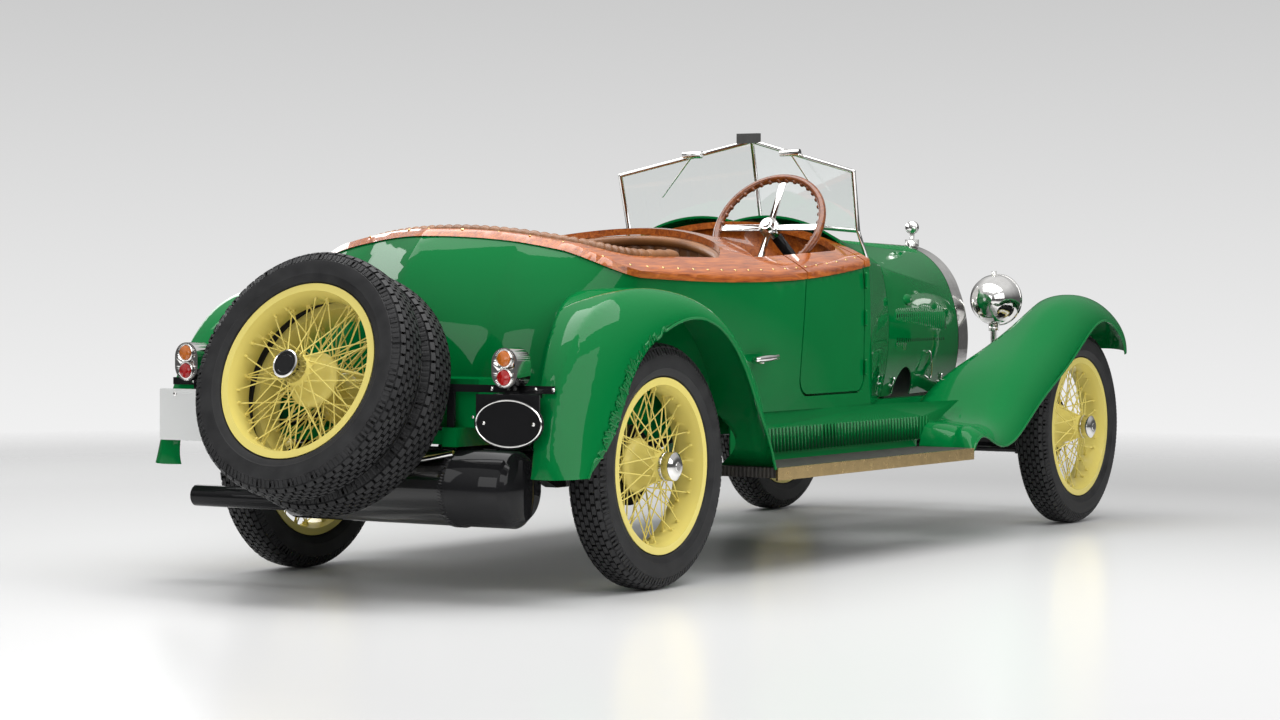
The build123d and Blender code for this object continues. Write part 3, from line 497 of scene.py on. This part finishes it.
# columns: radius, place along the axle
hub_cap_outline = [
    (0.0, 0.1085), (0.012, 0.1085), (0.014, 0.1072), (0.026, 0.1072), (0.0315, 0.1045),
    (0.0425, 0.0975), (0.0435, 0.094), (0.0435, 0.071), (0.0445, 0.070), (0.0445, 0.063),
    (0.0423, 0.063),
]
spare_boss_outline = [
    (0.0, 0.110), (0.026, 0.110), (0.028, 0.1085), (0.0405, 0.1085), (0.0405, 0.07), (0.036, 0.07),
]
spare_ring_outline = [
    (0.036, 0.1065), (0.0365, 0.1115), (0.0395, 0.1125), (0.0425, 0.110), (0.0435, 0.104),
    (0.0435, 0.066), (0.041, 0.066), (0.041, 0.1065),
]
# columns: pairs, rim place, twist in degrees
nipple_rows = [(12, -0.016, 52), (10, 0.014, 40), (10, -0.026, 26)]
nipple_reach = 0.2385


def nipple_mesh():
    bm = bmesh.new()
    for pairs, rim_y, twist in nipple_rows:
        for i in range(pairs):
            for side in (-1, 1):
                angle = math.radians(360 / pairs * i + side * (90 / pairs + twist))
                foot = Vector((math.cos(angle), 0, math.sin(angle)))
                start = foot * (nipple_reach - 0.012) + Vector((0, rim_y, 0))
                end = foot * (nipple_reach + 0.004) + Vector((0, rim_y, 0))
                add_rod(bm, start, end, 0.0032, 0.0058, segments=8)
    return mesh_from(bm, "nipples")


drum_place = -0.0575
drum_reach = 0.123


def drum_rule(x, sign):
    # the brake drum, on a wheel's inner side, takes the second finish
    centre = at(x, sign * half_track, axle_height)

    def rule(middle):
        offset = middle - centre
        inward = offset.y * sign
        reach = math.hypot(offset.x, offset.z)
        return 1 if inward < drum_place and reach < drum_reach else 0

    return rule


def make_wheels():
    tyre = tyre_mesh()
    cap = turned_mesh("hub_cap", hub_cap_outline)
    nipples = nipple_mesh()
    for place, x in (("rear", 0), ("front", wheelbase)):
        for side, sign in both_sides:
            tail = place + "_" + side
            body = tail + "_wheel"
            matrix = wheel_matrix(x, sign)
            placed_copy("road_tyre_" + tail, tyre, matrix, "tyre_rubber", body, ("tyre_" + tail,))
            placed_copy("hub_cap_" + tail, cap, matrix, "bright_metal", body)
            placed_copy("nipples_" + tail, nipples, matrix, "yellow_paint", body)
            dress("wheel_" + tail, ["yellow_paint", "black_enamel"], drum_rule(x, sign))
    both = bmesh.new()
    for number in (0, 1):
        one = tyre.copy()
        one.transform(spare_matrix(number))
        both.from_mesh(one)
        placed_copy("spare_nipples_%d" % number, nipples, spare_matrix(number), "yellow_paint", "chassis")
    finished(
        "spare_tyres_treaded", both, "tyre_rubber", "chassis", replaces=("spare_tyres",), outward=False)
    dress("spare_wheels")
    boss = turned_mesh("spare_boss", spare_boss_outline)
    placed_copy("spare_boss", boss, spare_matrix(0), "black_enamel", "chassis")
    bm = bmesh.new()
    add_turned(bm, spare_ring_outline, matrix=spare_matrix(0), closed=True)
    finished("spare_boss_ring", bm, "bright_metal", "chassis")


# Upholstery

capping_thickness = 0.022
shoulder_y = 0.42
# columns: place along, height in the middle, height at the shoulder
crown_rows = [(-0.62, 1.076, 1.034), (1.0, 1.104, 1.046), (1.69, 1.142, 1.060)]


def capping_top(x, y):
    # height of the wooden capping's upper face
    before, after = crown_rows[:2] if x < crown_rows[1][0] else crown_rows[1:]
    share = (x - before[0]) / (after[0] - before[0])
    middle = before[1] + (after[1] - before[1]) * share
    shoulder = before[2] + (after[2] - before[2]) * share
    if abs(y) < shoulder_y:
        return middle - (middle - shoulder) * (y / shoulder_y) ** 2
    past = abs(y) - shoulder_y
    return shoulder - 0.28 * past - 1.278 * past**2


def keep_inside(bm, wall, centre, gap=0.006):
    # points that would pass through the body's inner side are drawn back towards the middle
    for vert in bm.verts:
        start = Vector((centre.x, centre.y, vert.co.z))
        way = vert.co - start
        if way.length < 0.01:
            continue
        hit, _, _, reach = wall.ray_cast(start, way.normalized())
        if hit is not None and reach - gap < way.length:
            vert.co = start + way.normalized() * (reach - gap)


smoothing_rounds = 5


def pleated_pad(name, low, high, pleats, face, depth, replaces):
    # face is the axis and way that the pleated side looks; the pleats are spread across Y
    size = high - low
    middle = (low + high) / 2
    bm = bmesh.new()
    bmesh.ops.create_cube(bm, size=1.0)
    long_edges = [edge for edge in bm.edges if abs((edge.verts[0].co - edge.verts[1].co).y) > 0.5]
    bmesh.ops.subdivide_edges(bm, edges=long_edges, cuts=pleats * 6 - 1, use_grid_fill=True)
    for axis in (0, 2):
        edges = [edge for edge in bm.edges if abs((edge.verts[0].co - edge.verts[1].co)[axis]) > 0.5]
        bmesh.ops.subdivide_edges(bm, edges=edges, cuts=9, use_grid_fill=True)
    bmesh.ops.transform(bm, matrix=Matrix.Translation(middle) @ Matrix.Diagonal((*size, 1)), verts=bm.verts)
    for _ in range(smoothing_rounds):
        bmesh.ops.smooth_vert(
            bm, verts=bm.verts, factor=0.5, use_axis_x=True, use_axis_y=False, use_axis_z=True)
    axis, way = face
    for vert in bm.verts:
        share = (vert.co.y - low.y) / size.y
        wave = abs(math.sin(math.pi * share * pleats)) ** 0.55
        facing = max(0.0, way * (vert.co[axis] - middle[axis]) / (size[axis] / 2))
        vert.co[axis] -= way * depth * (1 - wave) * facing
        ends = abs(2 * share - 1) ** 8
        vert.co[axis] -= way * depth * 1.4 * ends * facing
    keep_inside(bm, tree_of(frame["nodes"]["body_shell"]), middle + Vector((0.12, 0, 0)))
    piece = finished(name, bm, "tan_leather", "chassis", replaces=replaces)


def gathered_sheet(name, edge, bottom, top, pleats, depth, thickness, replaces):
    # a pleated wall along a line in plan; edge gives a plan point for each share of the way,
    # and the upper edge follows the underside of the capping
    bm = bmesh.new()
    count = pleats * 8
    verts = []
    for i in range(count + 1):
        share = i / count
        point, normal = edge(share)
        wave = abs(math.sin(math.pi * share * pleats)) ** 0.55
        verts.append(bm.verts.new(point + normal * depth * wave + Vector((0, 0, bottom))))
    edges = [bm.edges.new(two) for two in zip(verts, verts[1:])]
    rows = 14
    for row in range(rows):
        made = bmesh.ops.extrude_edge_only(bm, edges=edges)["geom"]
        moved = [part for part in made if isinstance(part, bmesh.types.BMVert)]
        edges = [part for part in made if isinstance(part, bmesh.types.BMEdge)]
        bmesh.ops.translate(bm, verts=moved, vec=(0, 0, (top - bottom) / rows))
    for vert in bm.verts:
        share = (vert.co.z - bottom) / (top - bottom)
        edge_height = capping_top(vert.co.x - rear_x, vert.co.y) - capping_thickness - 0.003
        vert.co.z = bottom + (edge_height - bottom) * share
    bmesh.ops.recalc_face_normals(bm, faces=bm.faces)
    bmesh.ops.solidify(bm, geom=bm.faces[:], thickness=thickness)
    piece = finished(name, bm, "tan_leather", "chassis", replaces=replaces)


def arc_through(a, b, c):
    # centre, radius and the two end angles of the plan arc a, b, c
    ax, ay = a
    bx, by = b
    cx, cy = c
    d = 2 * (ax * (by - cy) + bx * (cy - ay) + cx * (ay - by))
    ux = ((ax**2 + ay**2) * (by - cy) + (bx**2 + by**2) * (cy - ay) + (cx**2 + cy**2) * (ay - by)) / d
    uy = ((ax**2 + ay**2) * (cx - bx) + (bx**2 + by**2) * (ax - cx) + (cx**2 + cy**2) * (bx - ax)) / d
    start = math.atan2(ay - uy, ax - ux)
    end = math.atan2(cy - uy, cx - ux)
    return Vector((ux, uy, 0)), math.hypot(ax - ux, ay - uy), start, end


bridge_low = (0.640, 0.522)
bridge_middle = (0.890, 0.330)
bridge_front = (1.000, 0.0)


def bridge_line(share):
    # the front end of the rear cockpit from left to right
    side = 1 if share < 0.5 else -1
    centre, radius, start, end = arc_through(bridge_low, bridge_middle, bridge_front)
    part = 2 * share if share < 0.5 else 2 * (1 - share)
    angle = start + (end - start) * part
    out = Vector((math.cos(angle), math.sin(angle), 0))
    point = centre + out * (radius + 0.013)
    return at(point.x, point.y * side, 0), Vector((-out.x, -out.y * side, 0))


tail_turn = [(0.43, 0.497), (0.18, 0.494), (0.055, 0.447), (-0.03, 0.33), (-0.075, 0.17), (-0.09, 0.0)]


def smooth_line(points, count):
    # a smooth line through the points, by spans of a Catmull-Rom curve
    made = []
    spans = len(points) - 1
    for i in range(count + 1):
        place = i / count * spans
        number = min(int(place), spans - 1)
        t = place - number
        p0 = points[max(number - 1, 0)]
        p1 = points[number]
        p2 = points[number + 1]
        p3 = points[min(number + 2, spans)]
        made.append(0.5 * ((2 * p1) + (p2 - p0) * t + (2 * p0 - 5 * p1 + 4 * p2 - p3) * t**2
                           + (3 * p1 - p0 - 3 * p2 + p3) * t**3))
    return made


def cockpit_roll():
    half = [Vector((x, y, 0)) for x, y in tail_turn]
    route = half + [Vector((point.x, -point.y, 0)) for point in reversed(half[:-1])]
    line = smooth_line(route, 300)
    gathers = 52
    points = []
    for point in line:
        points.append(at(point.x, point.y, capping_top(point.x, point.y) - 0.008))
    bm = bmesh.new()

    def girth(share):
        ending = min(1.0, 0.25 + 40 * min(share, 1 - share))
        return ending * (0.0155 + 0.0055 * abs(math.sin(math.pi * gathers * share)) ** 0.6)

    add_tube(bm, points, girth, 14)
    piece = finished("cockpit_roll", bm, "tan_leather", "chassis", replaces=("seat_roll",))


def make_upholstery():
    # columns: name, low and high corners, pleats, pleated side, depth of the pleats, nodes stood for
    pads = [
        ("front_cushion", (1.09, -0.475, 0.565), (1.412, 0.475, 0.69), 14, (2, 1), 0.014, ("front_seat",)),
        ("rear_cushion", (-0.145, -0.495, 0.565), (0.425, 0.495, 0.69), 14, (2, 1), 0.014, ("rear_seat",)),
        ("front_backrest", (1.03, -0.47, 0.66), (1.085, 0.47, 1.008), 16, (0, 1), 0.012, ()),
        ("rear_backrest", (-0.16, -0.44, 0.66), (-0.088, 0.44, 1.0), 15, (0, 1), 0.012, ()),
    ]
    for name, low, high, pleats, face, depth, nodes in pads:
        pleated_pad(name, at(*low), at(*high), pleats, face, depth, nodes)
    for name, low, high in (
        ("front_seat_box", (1.035, -0.47, 0.514), (1.395, 0.47, 0.585)),
        ("rear_seat_box", (-0.2, -0.5, 0.514), (0.4, 0.5, 0.585)),
    ):
        bm = bmesh.new()
        size = Vector(high) - Vector(low)
        middle = at(*((Vector(low) + Vector(high)) / 2))
        shape = Matrix.Translation(middle) @ Matrix.Diagonal((*size, 1))
        bmesh.ops.create_cube(bm, size=1.0, matrix=shape)
        bmesh.ops.bevel(
            bm, geom=bm.edges[:], offset=0.006, segments=2, profile=0.5, affect="EDGES", material=-1)
        finished(name, bm, "tan_leather", "chassis")
    gathered_sheet("bridge_lining", bridge_line, 0.52, 1.05, 24, 0.011, 0.005, ("cockpit_partition",))
    points = []
    for i in range(161):
        point, inward = bridge_line(i / 160)
        point += inward * 0.014
        height = capping_top(point.x - rear_x, point.y) - capping_thickness - 0.019
        points.append(point + Vector((0, 0, height)))
    bm = bmesh.new()
    add_tube(bm, points, 0.017, 14)
    finished("bridge_roll", bm, "tan_leather", "chassis")


# Body details

handwheel_centre = at(1.37, -0.3, 1.113)
column_slope = math.radians(31.6)
above_car = 1.6
beside_bonnet = 0.6
plate_x = -0.668
# a wing's outermost points lie past lip_limit
lip_limit = 0.77995
bead_radius = 0.0045


def make_painted_nodes():
    done = {"front_seat", "rear_seat", "seat_roll", "cockpit_partition", "spare_tyres", "spare_wheels"}
    special = {
        "radiator_core": ["radiator_mesh"],
        "number_plate": ["blank_plate"],
        "tail_lamps": ["bright_metal"],
        "tail_brackets": ["black_enamel"],
    }
    pieces = {}

    def lens_rule(middle):
        return 1 if middle.z > 0.677 else 0

    def handwheel_rule(middle):
        return 0 if (middle - handwheel_centre).length > 0.183 else 1

    rules = {
        "tail_lenses": (["red_glass", "amber_glass"], lens_rule),
        "steering_wheel": (["rim_wood", "bright_metal"], handwheel_rule),
    }
    for node in frame["nodes"]:
        if node in done or node.startswith("wheel_") or node.startswith("tyre_"):
            continue
        if node in rules:
            names, rule = rules[node]
            pieces[node] = dress(node, names, rule)
        else:
            pieces[node] = dress(node, special.get(node), flat=node == "screen_glass")
    return pieces


def drop_point(tree, x, y):
    hit, normal, _, _ = tree.ray_cast(at(x, y, above_car), Vector((0, 0, -1)))
    return hit, normal


def side_point(tree, x, side, z):
    hit, normal, _, _ = tree.ray_cast(at(x, side * beside_bonnet, z), Vector((0, -side, 0)))
    return hit, normal


def outer_edge(tree, start, way):
    # the furthest point that level rays reach on the capping's outer side
    found = None
    for rise in range(16):
        hit, _, _, reach = tree.ray_cast(start + Vector((0, 0, 0.92 + 0.01 * rise)), way)
        if hit is not None and (found is None or reach < found[0]):
            found = (reach, hit)
    return found[1] if found else None


def capping_screws(pieces):
    # columns: node, body, first and last place along, sides
    rows = [
        ("wood_capping", "chassis", -0.04, 1.06, (1, -1)),
        ("door_top_left", "left_door", 1.13, 1.56, (1,)),
        ("door_top_right", "right_door", 1.13, 1.56, (-1,)),
    ]
    inset = 0.024
    for node, body, first, last, sides in rows:
        tree = tree_of(pieces[node])
        starts = []
        count = round((last - first) / 0.085)
        for i in range(count + 1):
            for side in sides:
                place = at(first + (last - first) * i / count, side * 0.9, 0)
                starts.append((place, Vector((0, -side, 0))))
        if node == "wood_capping":
            for i in range(-4, 5):
                starts.append((at(-0.9, i * 0.1, 0), Vector((1, 0, 0))))
        bm = bmesh.new()
        for start, way in starts:
            edge = outer_edge(tree, start, way)
            if edge is None:
                continue
            top = edge + way * inset
            hit, normal, _, _ = tree.ray_cast(Vector((top.x, top.y, above_car)), Vector((0, 0, -1)))
            if hit is not None:
                add_ball(bm, hit + normal * 0.0004, 0.0050, 0.35, normal)
        finished(node + "_screws", bm, "brass", body)


def bonnet_details(pieces):
    for side_name, side in both_sides:
        tree = tree_of(pieces["bonnet_" + side_name])
        body = side_name + "_bonnet"
        bm = bmesh.new()
        for i in range(27):
            x = 2.2 + i * 0.0295
            share = (x - 2.15) / 0.88
            for row in (0.052, 0.098):
                y = side * row * (1 - 0.42 * share)
                hit, normal = drop_point(tree, x, y)
                if hit is not None:
                    turn = aim(normal, hit) @ Matrix.Rotation(0.25 * side, 4, "Z")
                    shape = turn @ Matrix.Diagonal((0.0045, 0.017, 0.004, 1))
                    bmesh.ops.create_uvsphere(bm, u_segments=10, v_segments=6, radius=1.0, matrix=shape)
        finished("bonnet_vents_" + side_name, bm, "green_paint", body)
        bm = bmesh.new()
        hit, normal = side_point(tree, 2.40, side, 0.86)
        if hit is not None:
            shape = aim(normal, hit) @ Matrix.Diagonal((0.05, 0.022, 0.012, 1))
            bmesh.ops.create_uvsphere(bm, u_segments=24, v_segments=12, radius=1.0, matrix=shape)
        finished("bonnet_blister_" + side_name, bm, "green_paint", body)
        bm = bmesh.new()
        hit, normal = side_point(tree, 2.62, side, 0.615)
        if hit is not None:
            out = normal * 0.022
            low = hit + Vector((0, 0, -0.045))
            high = hit + Vector((0, 0, 0.045))
            route = smooth_line([low, low + out, high + out, high], 24)
            add_tube(bm, route, 0.0042, 10, upright=(1, 0, 0))
        for x in (2.25, 2.85):
            hit, normal = side_point(tree, x, side, 0.54)
            if hit is not None:
                foot = hit + Vector((0, 0, -0.025))
                add_rod(bm, foot, hit + Vector((0, 0, 0.03)) + normal * 0.012, 0.0045, 0.003)
                add_ball(bm, hit + Vector((0, 0, 0.032)) + normal * 0.013, 0.0075)
                add_rod(bm, hit - normal * 0.002, hit + normal * 0.006, 0.011)
        finished("bonnet_handle_" + side_name, bm, "bright_metal", body)


def slot_shade_strips(bm, tree, side, places, low, high):
    # dark strips of painted shade in the gaps between louvre ribs, laid on the sheet that the ray finds
    for x in places:
        made = bmesh.ops.create_cube(bm, size=1.0)
        for vert in made["verts"]:
            point = at(x + 0.009 * vert.co.x, side * 0.9, low + (high - low) * (vert.co.z + 0.5))
            hit = tree.ray_cast(point, Vector((0, -side, 0)))[0]
            depth = 0.0008 if vert.co.y > 0 else -0.0008
            sheet = hit.y if hit is not None else side * 0.5
            vert.co = Vector((point.x, sheet + side * depth, point.z))


def louvre_gap_shade(pieces):
    # black strips of painted shade fill the louvre gaps on the bonnet sides and the valances
    valance_tree = tree_of(pieces["valances"])
    valance_shade_mesh = bmesh.new()
    for side_name, side in both_sides:
        tree = tree_of(pieces["bonnet_" + side_name])
        bm = bmesh.new()
        slot_shade_strips(bm, tree, side, [2.257 + i * 0.026 for i in range(23)], 0.704, 0.808)
        finished("bonnet_slots_" + side_name, bm, "black_enamel", side_name + "_bonnet")
        slot_shade_strips(valance_shade_mesh, valance_tree, side, [0.917 + i * 0.024 for i in range(48)], 0.369, 0.443)
    finished("valance_gap_shade", valance_shade_mesh, "black_enamel", "chassis")


def lip_beads(pieces):
    # a rolled bead along each wing's outer lip, through the lip's own points
    centre = at(-0.1, 0, 0.38)
    for node in ("rear_wings", "front_wings"):
        bm = bmesh.new()
        for side in (-1, 1):
            lip = [vert.co.copy() for vert in pieces[node].data.vertices if vert.co.y * side > lip_limit]
            if node == "rear_wings":
                lip.sort(key=lambda point: math.atan2(centre.x - point.x, point.z - centre.z))
            else:
                lip.sort(key=lambda point: point.x)
            route = []
            for point in lip:
                if not route or (point - route[-1]).length > 0.02:
                    route.append(point)
            add_tube(bm, smooth_line(route, 160), bead_radius, 10, upright=(0, 1, 0))
        finished(node + "_bead", bm, "green_paint", "chassis")


def door_details():
    for side_name, side in both_sides:
        bm = bmesh.new()
        for z in (0.63, 0.80, 0.93):
            centre = at(1.593, side * 0.5615, z)
            add_rod(bm, centre - Vector((0, 0, 0.022)), centre + Vector((0, 0, 0.022)), 0.0058)
            for end in (-0.023, 0.023):
                add_ball(bm, centre + Vector((0, 0, end)), 0.0062)
        finished("door_hinges_" + side_name, bm, "green_paint", "chassis")
        bm = bmesh.new()
        start = at(0.716, side * 0.616, 0.674)
        end = at(0.866, side * 0.616, 0.680)
        route = [start + (end - start) * i / 16 for i in range(17)]
        add_tube(bm, route, lambda share: 0.0035 + 0.0085 * math.sin(math.pi * share) ** 0.5, 14)
        finished("quarter_grip_" + side_name, bm, "bright_metal", "chassis")


def plate_details():
    bm = bmesh.new()
    oval_centre = at(plate_x - 0.0005, -0.596, 0.520)
    add_tube(
        bm, oval_points(oval_centre, 0.111, 0.066, 72), 0.0028, 8, closed=True, upright=(1, 0, 0))
    for side in (-1, 1):
        add_ball(bm, oval_centre + Vector((0, side * 0.085, 0)), 0.006, 0.5, (-1, 0, 0))
    finished("oval_plate_border", bm, "bright_metal", "chassis")
    bm = bmesh.new()
    for y in (0.448, 0.624):
        add_ball(bm, at(plate_x + 0.0025, y, 0.578), 0.0075, 0.5, (-1, 0, 0))
    finished("number_plate_bolts", bm, "bright_metal", "chassis")
    for side_name, side in both_sides:
        bm = bmesh.new()
        for rise in (-0.027, 0.027):
            ring = oval_points(at(-0.6655, side * 0.58, 0.677 + rise), 0.0235, 0.0235, 36)
            add_tube(bm, ring, 0.0034, 8, closed=True, upright=(1, 0, 0))
        finished("tail_lamp_rings_" + side_name, bm, "bright_metal", "chassis")


# columns: radius, place along the lamp
reflector_outline = [
    (0.0, -0.05), (0.03, -0.047), (0.06, -0.036), (0.084, -0.01), (0.086, 0.0), (0.083, 0.0),
    (0.058, -0.033), (0.03, -0.044), (0.0, -0.047),
]


def lamp_details():
    forward = Matrix.Rotation(-math.pi / 2, 4, "Z")
    for side_name, side in both_sides:
        bm = bmesh.new()
        ring = oval_points(at(3.170, side * 0.33, 0.857), 0.0955, 0.0955, 64)
        add_tube(bm, ring, 0.0062, 10, closed=True, upright=(1, 0, 0))
        finished("lamp_rim_" + side_name, bm, "bright_metal", "chassis")
        bm = bmesh.new()
        place = Matrix.Translation(at(3.150, side * 0.33, 0.857))
        add_turned(bm, reflector_outline, 40, place @ forward)
        finished("lamp_reflector_" + side_name, bm, "bright_metal", "chassis")


# columns: across, up, radius
dial_rows = [
    (0.0, 0.985, 0.055), (0.15, 0.975, 0.036), (-0.15, 0.975, 0.036), (0.27, 0.965, 0.028),
    (0.37, 0.955, 0.022),
]


def dashboard_dials():
    bezel = bmesh.new()
    face = bmesh.new()
    marks = bmesh.new()
    front = 1.6318
    for y, z, radius in dial_rows:
        centre = at(front, y, z)
        raised = centre + Vector((-0.003, 0, 0))
        ring = oval_points(raised, radius, radius, 40)
        add_tube(bezel, ring, 0.0036, 8, closed=True, upright=(1, 0, 0))
        add_rod(face, centre, centre + Vector((-0.0025, 0, 0)), radius, segments=40)
        for i in range(12):
            angle = 2 * math.pi * i / 12
            way = Vector((0, math.cos(angle), math.sin(angle)))
            inner = raised + way * radius * 0.72
            add_rod(marks, inner, raised + way * radius * 0.88, 0.0009, segments=6)
        pointer = centre + Vector((-0.0032, radius * 0.4, radius * 0.5))
        add_rod(marks, centre + Vector((-0.0032, 0, 0)), pointer, 0.0011, 0.0004, segments=6)
    finished("dial_bezels", bezel, "bright_metal", "chassis")
    finished("dial_faces", face, "dial_face", "chassis", "black_enamel")
    finished("dial_marks", marks, "black_enamel", "chassis")


def steering_details():
    turn = aim((-math.cos(column_slope), 0, math.sin(column_slope)), handwheel_centre)
    bm = bmesh.new()
    for i in range(36):
        angle = 2 * math.pi * (i + 0.5) / 36
        place = turn @ Vector((0.190 * math.cos(angle), 0.190 * math.sin(angle), 0))
        add_ball(bm, place, 0.0088)
    finished("rim_grips", bm, "rim_wood", "handwheel", "varnished_wood")
    bm = bmesh.new()
    add_rod(bm, turn @ Vector((0, 0, 0.005)), turn @ Vector((0, 0, 0.022)), 0.030, 0.022, 32)
    add_rod(bm, turn @ Vector((0, 0, 0.022)), turn @ Vector((0, 0, 0.028)), 0.016, 0.013, 32)
    finished("steering_boss", bm, "bright_metal", "handwheel")


def tail_details():
    bm = bmesh.new()
    route = smooth_line([
        at(-0.60, -0.36, 0.425), at(-0.62, -0.20, 0.400), at(-0.61, -0.02, 0.405), at(-0.58, 0.10, 0.43),
    ], 40)
    add_tube(bm, route, 0.009, 12)
    finished("fuel_pipe", bm, "bright_metal", "chassis")
    bm = bmesh.new()
    for y in (-0.70, -0.64, -0.55, -0.49):
        add_ball(bm, at(-0.596, y, 0.615), 0.006, 0.5, (-1, 0, 0))
    for side in (-1, 1):
        for step in range(5):
            add_ball(bm, at(-0.5606, side * (0.10 + 0.075 * step), 0.53), 0.005, 0.5, (-1, 0, 0))
    finished("tail_screws", bm, "bright_metal", "chassis")


# Stage

def make_floor():
    bm = bmesh.new()
    bmesh.ops.create_grid(bm, x_segments=1, y_segments=1, size=60)
    mesh = mesh_from(bm, "floor")
    floor = bpy.data.objects.new("floor", mesh)
    floor.location.z = -0.0005
    bpy.context.scene.collection.objects.link(floor)
    # the floor fades out far from the car, so that no horizon shows
    finish = Finish("studio_floor")
    finish.set({"Base Color": (0.80, 0.80, 0.80), "Roughness": 0.22, "Specular IOR Level": 0.35})
    where = finish.node("ShaderNodeTexCoord", output=3)
    reach = finish.node("ShaderNodeVectorMath", {"operation": "LENGTH"}, {0: where}, output=1)
    fade = finish.ramp(reach * 0.1, [(0.40, (0, 0, 0)), (0.90, (1, 1, 1))])
    empty = finish.node("ShaderNodeBsdfTransparent")
    solid = Sock(finish, finish.shader.outputs[0])
    mixed = finish.node("ShaderNodeMixShader", {}, {0: fade, 1: solid, 2: empty})
    finish.plug(finish.tree.nodes["Material Output"].inputs[0], mixed)
    mesh.materials.append(finish.material)


def grey_ramp(tree, height, stops):
    # greys by the height looked at; columns: place, level
    ramp = tree.nodes.new("ShaderNodeValToRGB")
    tree.links.new(height, ramp.inputs[0])
    for element, (place, level) in zip(ramp.color_ramp.elements, stops):
        element.position = place
        element.color = (level, level, level, 1)
    return ramp.outputs[0]


def make_world():
    # the backdrop is bright only where it is looked at, and the room that the car reflects is darker
    world = bpy.data.worlds.new("studio")
    bpy.context.scene.world = world
    world.use_nodes = True
    tree = world.node_tree
    back = tree.nodes["Background"]
    room = tree.nodes.new("ShaderNodeBackground")
    where = tree.nodes.new("ShaderNodeTexCoord")
    apart = tree.nodes.new("ShaderNodeSeparateXYZ")
    tree.links.new(where.outputs["Generated"], apart.inputs[0])
    raised = tree.nodes.new("ShaderNodeMath")
    tree.links.new(apart.outputs["Z"], raised.inputs[0])
    raised.inputs[1].default_value = 0.1
    sky = grey_ramp(tree, raised.outputs[0], [(0.0, 0.98), (0.22, 0.545)])
    tree.links.new(sky, back.inputs[0])
    back.inputs[1].default_value = 1.0
    walls = grey_ramp(tree, apart.outputs["Z"], [(0.10, 0.10), (0.75, 0.85)])
    tree.links.new(walls, room.inputs[0])
    room.inputs[1].default_value = 1.0
    rays = tree.nodes.new("ShaderNodeLightPath")
    seen = tree.nodes.new("ShaderNodeMath")
    seen.operation = "MAXIMUM"
    choice = tree.nodes.new("ShaderNodeMixShader")
    tree.links.new(rays.outputs["Is Camera Ray"], seen.inputs[0])
    tree.links.new(rays.outputs["Is Transmission Ray"], seen.inputs[1])
    tree.links.new(seen.outputs[0], choice.inputs[0])
    tree.links.new(room.outputs[0], choice.inputs[1])
    tree.links.new(back.outputs[0], choice.inputs[2])
    tree.links.new(choice.outputs[0], tree.nodes["World Output"].inputs[0])


def make_lights():
    # columns: place, aim, width, length, power
    softboxes = [
        ((0.6, -0.4, 4.6), (0.6, 0.0, 0.6), 3.4, 7.0, 290),
        ((-1.5, -6.0, 3.2), (0.6, 0.0, 0.7), 6.0, 3.0, 120),
        ((-6.5, -1.0, 2.8), (0.0, 0.0, 0.7), 4.0, 3.0, 90),
        ((3.0, 5.5, 3.0), (1.2, 0.0, 0.8), 4.0, 2.0, 90),
    ]
    for number, (place, target, width, length, power) in enumerate(softboxes):
        light = bpy.data.lights.new("softbox_%d" % number, "AREA")
        light.shape = "RECTANGLE"
        light.size = width
        light.size_y = length
        light.energy = power
        lamp = bpy.data.objects.new(light.name, light)
        bpy.context.scene.collection.objects.link(lamp)
        lamp.location = at(*place)
        lamp.rotation_euler = (at(*target) - lamp.location).to_track_quat("-Z", "Y").to_euler()


def make_camera():
    yaw, pitch, roll = 0.5498, -0.0253, 0.0033
    forward = Vector((math.cos(pitch) * math.cos(yaw), math.cos(pitch) * math.sin(yaw), math.sin(pitch)))
    level = Vector((math.sin(yaw), -math.cos(yaw), 0))
    up = level.cross(forward)
    right = level * math.cos(roll) + up * math.sin(roll)
    top = up * math.cos(roll) - level * math.sin(roll)
    turn = Matrix((right, top, -forward)).transposed()
    data = bpy.data.cameras.new("camera")
    data.sensor_width = 36
    data.lens = 86.85
    camera = bpy.data.objects.new("camera", data)
    bpy.context.scene.collection.objects.link(camera)
    camera.matrix_world = Matrix.Translation(at(-7.911, -5.4706, 0.9225)) @ turn.to_4x4()
    bpy.context.scene.camera = camera


bpy.context.scene.view_settings.view_transform = "Standard"
make_camera()
make_floor()
make_world()
make_lights()
make_wheels()
make_upholstery()
cockpit_roll()
dressed = make_painted_nodes()
capping_screws(dressed)
bonnet_details(dressed)
louvre_gap_shade(dressed)
lip_beads(dressed)
door_details()
plate_details()
lamp_details()
dashboard_dials()
steering_details()
tail_details()
